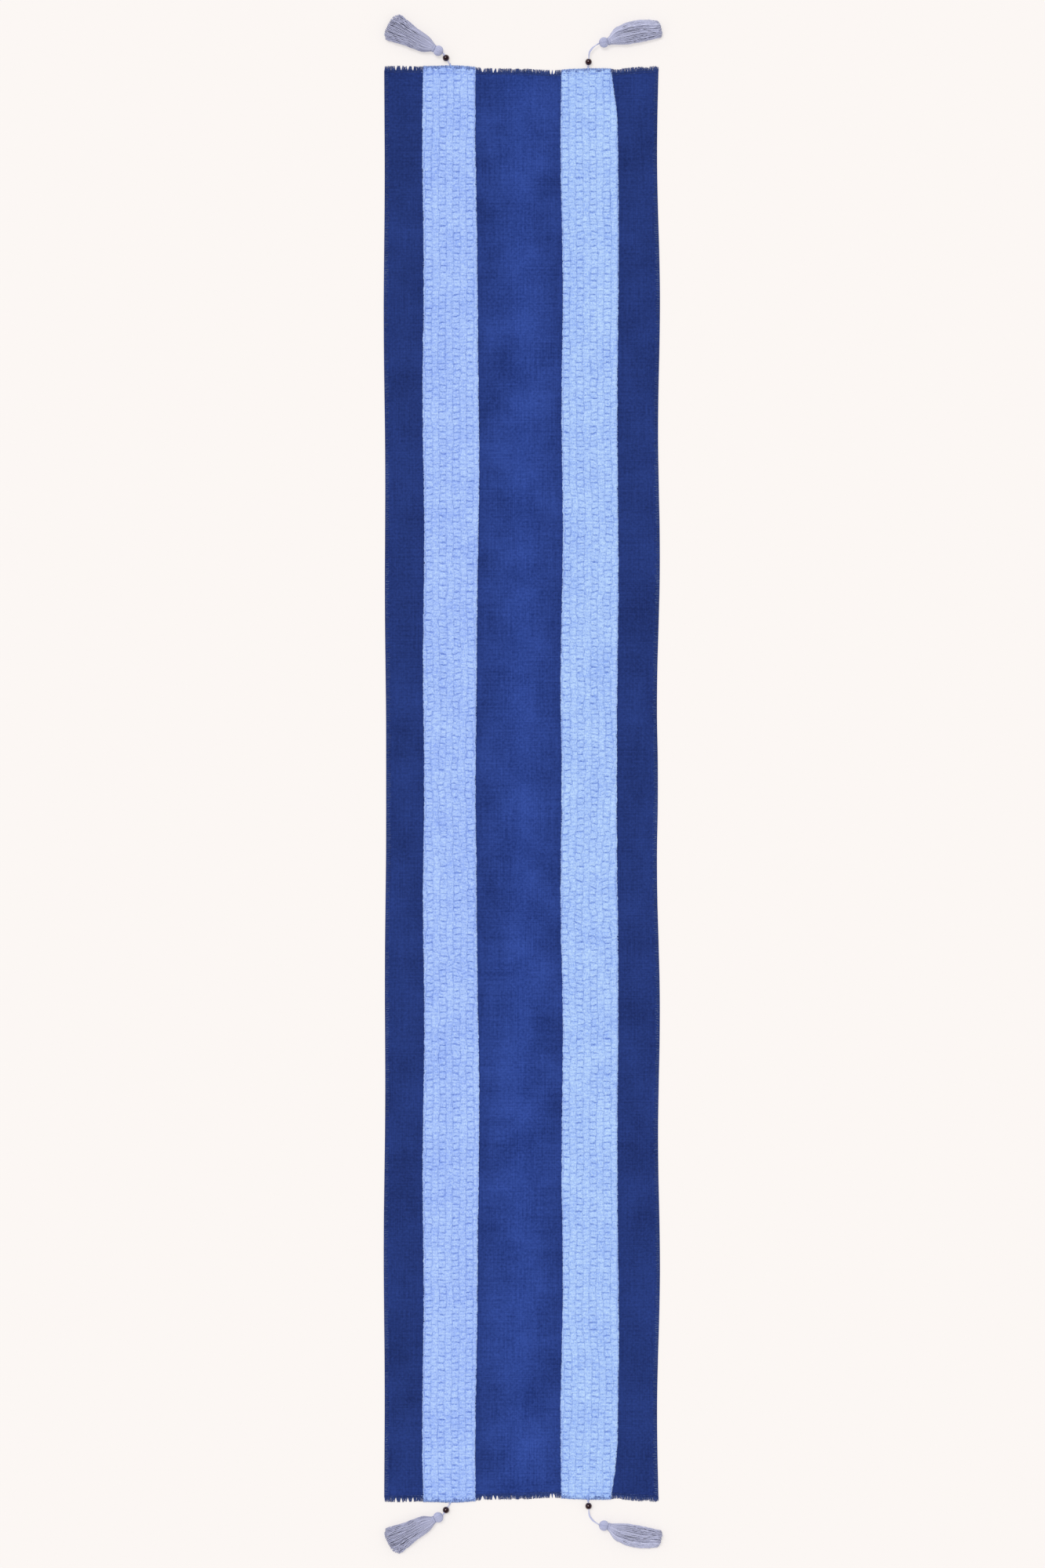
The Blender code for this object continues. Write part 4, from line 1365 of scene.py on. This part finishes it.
        paths = paths + across[..., None] * np.array(self.sideways)
        paths[..., 2] = np.maximum(height, self.strand_radius + 0.00005)
        return paths

    def skirt(self) -> bpy.types.Object:
        """The hanging yarn, strand by strand."""
        fan = self.fan()
        rings, tones = [], []
        # each ring's tone carries the painted shade of the skirt's inside
        for count, share, tone in zip(self.strands, self.ring_shares, self.ring_shade_tones):
            rings.append(self.ring_of_strands(count, share, fan))
            tones.append(self.rng.normal(tone + self.lie.paler, 0.14, count))
        paths = np.concatenate(rings)
        radii = even(self.strand_radius, paths) * self.rng.uniform(0.85, 1.15, (len(paths), 1))
        bundle = Threads(paths, radii, np.clip(np.concatenate(tones), 0, 1))
        mesh = bundle.mesh(f"skirt_{self.place}")
        return self.piece("skirt_strands", mesh, Finish.TASSEL, "tassel", "skirt", "tassel_yarn")

    def build(self) -> None:
        """Makes everything but the cord, which is made first."""
        self.knot_ball()
        self.tack()
        self.bead()
        self.core()
        self.head()
        self.binding()
        self.skirt()


# ---------------------------------------------------------------------- stage
@dataclass
class Studio:
    """The camera straight above, the pale floor and the soft light."""

    aim: tuple[float, float] = (0.0010, 0.0)
    span: float = 2.0032  # what the longer side of the picture takes in
    lens: float = 100.0
    sensor: float = 36.0
    floor_side: float = 80.0
    floor_colour: Colour = (250, 245, 242)
    floor_glow: float = 0.5  # the share of its light that is its own, which keeps shadows faint
    sky: float = 0.70
    backdrop: float = 0.92  # how bright the sky itself looks
    sun: float = 1.15
    sun_from: tuple[float, float, float] = (-0.24, 0.34, 1.0)
    sun_width_deg: float = 24.0  # wide, so that shadows have soft edges

    def camera(self) -> bpy.types.Object:
        """Sets the camera, looking straight down with +Y up the picture."""
        data = bpy.data.cameras.new("camera")
        data.lens, data.sensor_width = self.lens, self.sensor
        data.clip_end = 200.0
        camera = linked("camera", data)
        camera.location = (*self.aim, self.span * self.lens / self.sensor)
        bpy.context.scene.camera = camera
        return camera

    def floor(self) -> bpy.types.Object:
        """The pale surface that the runner lies on."""
        shape = bmesh.new()
        bmesh.ops.create_grid(shape, x_segments=1, y_segments=1, size=self.floor_side / 2)
        bmesh.ops.translate(shape, verts=shape.verts, vec=(0.0, 0.0, -0.0001))
        mesh = meshed(shape, "floor")
        floor = linked("floor", mesh)
        recipe = Recipe("floor_paint")
        pale = np.array(linear(self.floor_colour))
        recipe.preset(Base_Color=(*pale[:3] * (1 - self.floor_glow), 1.0), Roughness=0.9)
        recipe.preset(Emission_Color=tuple(pale), Emission_Strength=self.floor_glow)
        recipe.preset(Specular_IOR_Level=0.0)
        mesh.materials.append(recipe.material)
        return floor

    def lights(self) -> None:
        """A soft high sun from the upper left over an even sky."""
        world = bpy.data.worlds.new("studio")
        bpy.context.scene.world = world
        world.use_nodes = True
        sky = world.node_tree.nodes["Background"]
        sky.inputs["Color"].default_value = (1.0, 1.0, 1.0, 1.0)
        seen = world.node_tree.nodes.new("ShaderNodeLightPath")
        direct = Signal(world.node_tree, seen.outputs["Is Camera Ray"])
        brightness = direct * (self.backdrop - self.sky) + self.sky
        world.node_tree.links.new(brightness.socket, sky.inputs["Strength"])
        world.cycles_visibility.glossy = False
        data = bpy.data.lights.new("key", "SUN")
        data.energy, data.angle = self.sun, math.radians(self.sun_width_deg)
        key = linked("key", data)
        key.rotation_euler = Vector(self.sun_from).to_track_quat("Z", "Y").to_euler()
        bpy.context.scene.view_settings.view_transform = "Standard"

    def build(self) -> None:
        """Sets the stage."""
        self.camera()
        self.floor()
        self.lights()


def main() -> None:
    """Builds the stage, then the cords, the cloth, its stripes and the tassels."""
    logging.basicConfig(level=logging.INFO, format="%(message)s")
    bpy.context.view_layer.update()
    Studio().build()
    tassels = [Tassel(end, way, side) for end, way in (("top", 1), ("bottom", -1)) for side in LIES]
    for tassel in tassels:
        tassel.cord()
    ground = GroundCloth()
    ground.build()
    for seed, side in enumerate(("left", "right")):
        Stripe(side, ground, 3 + 20 * seed).build()
    for tassel in tassels:
        tassel.build()


if __name__ == "__main__":
    main()
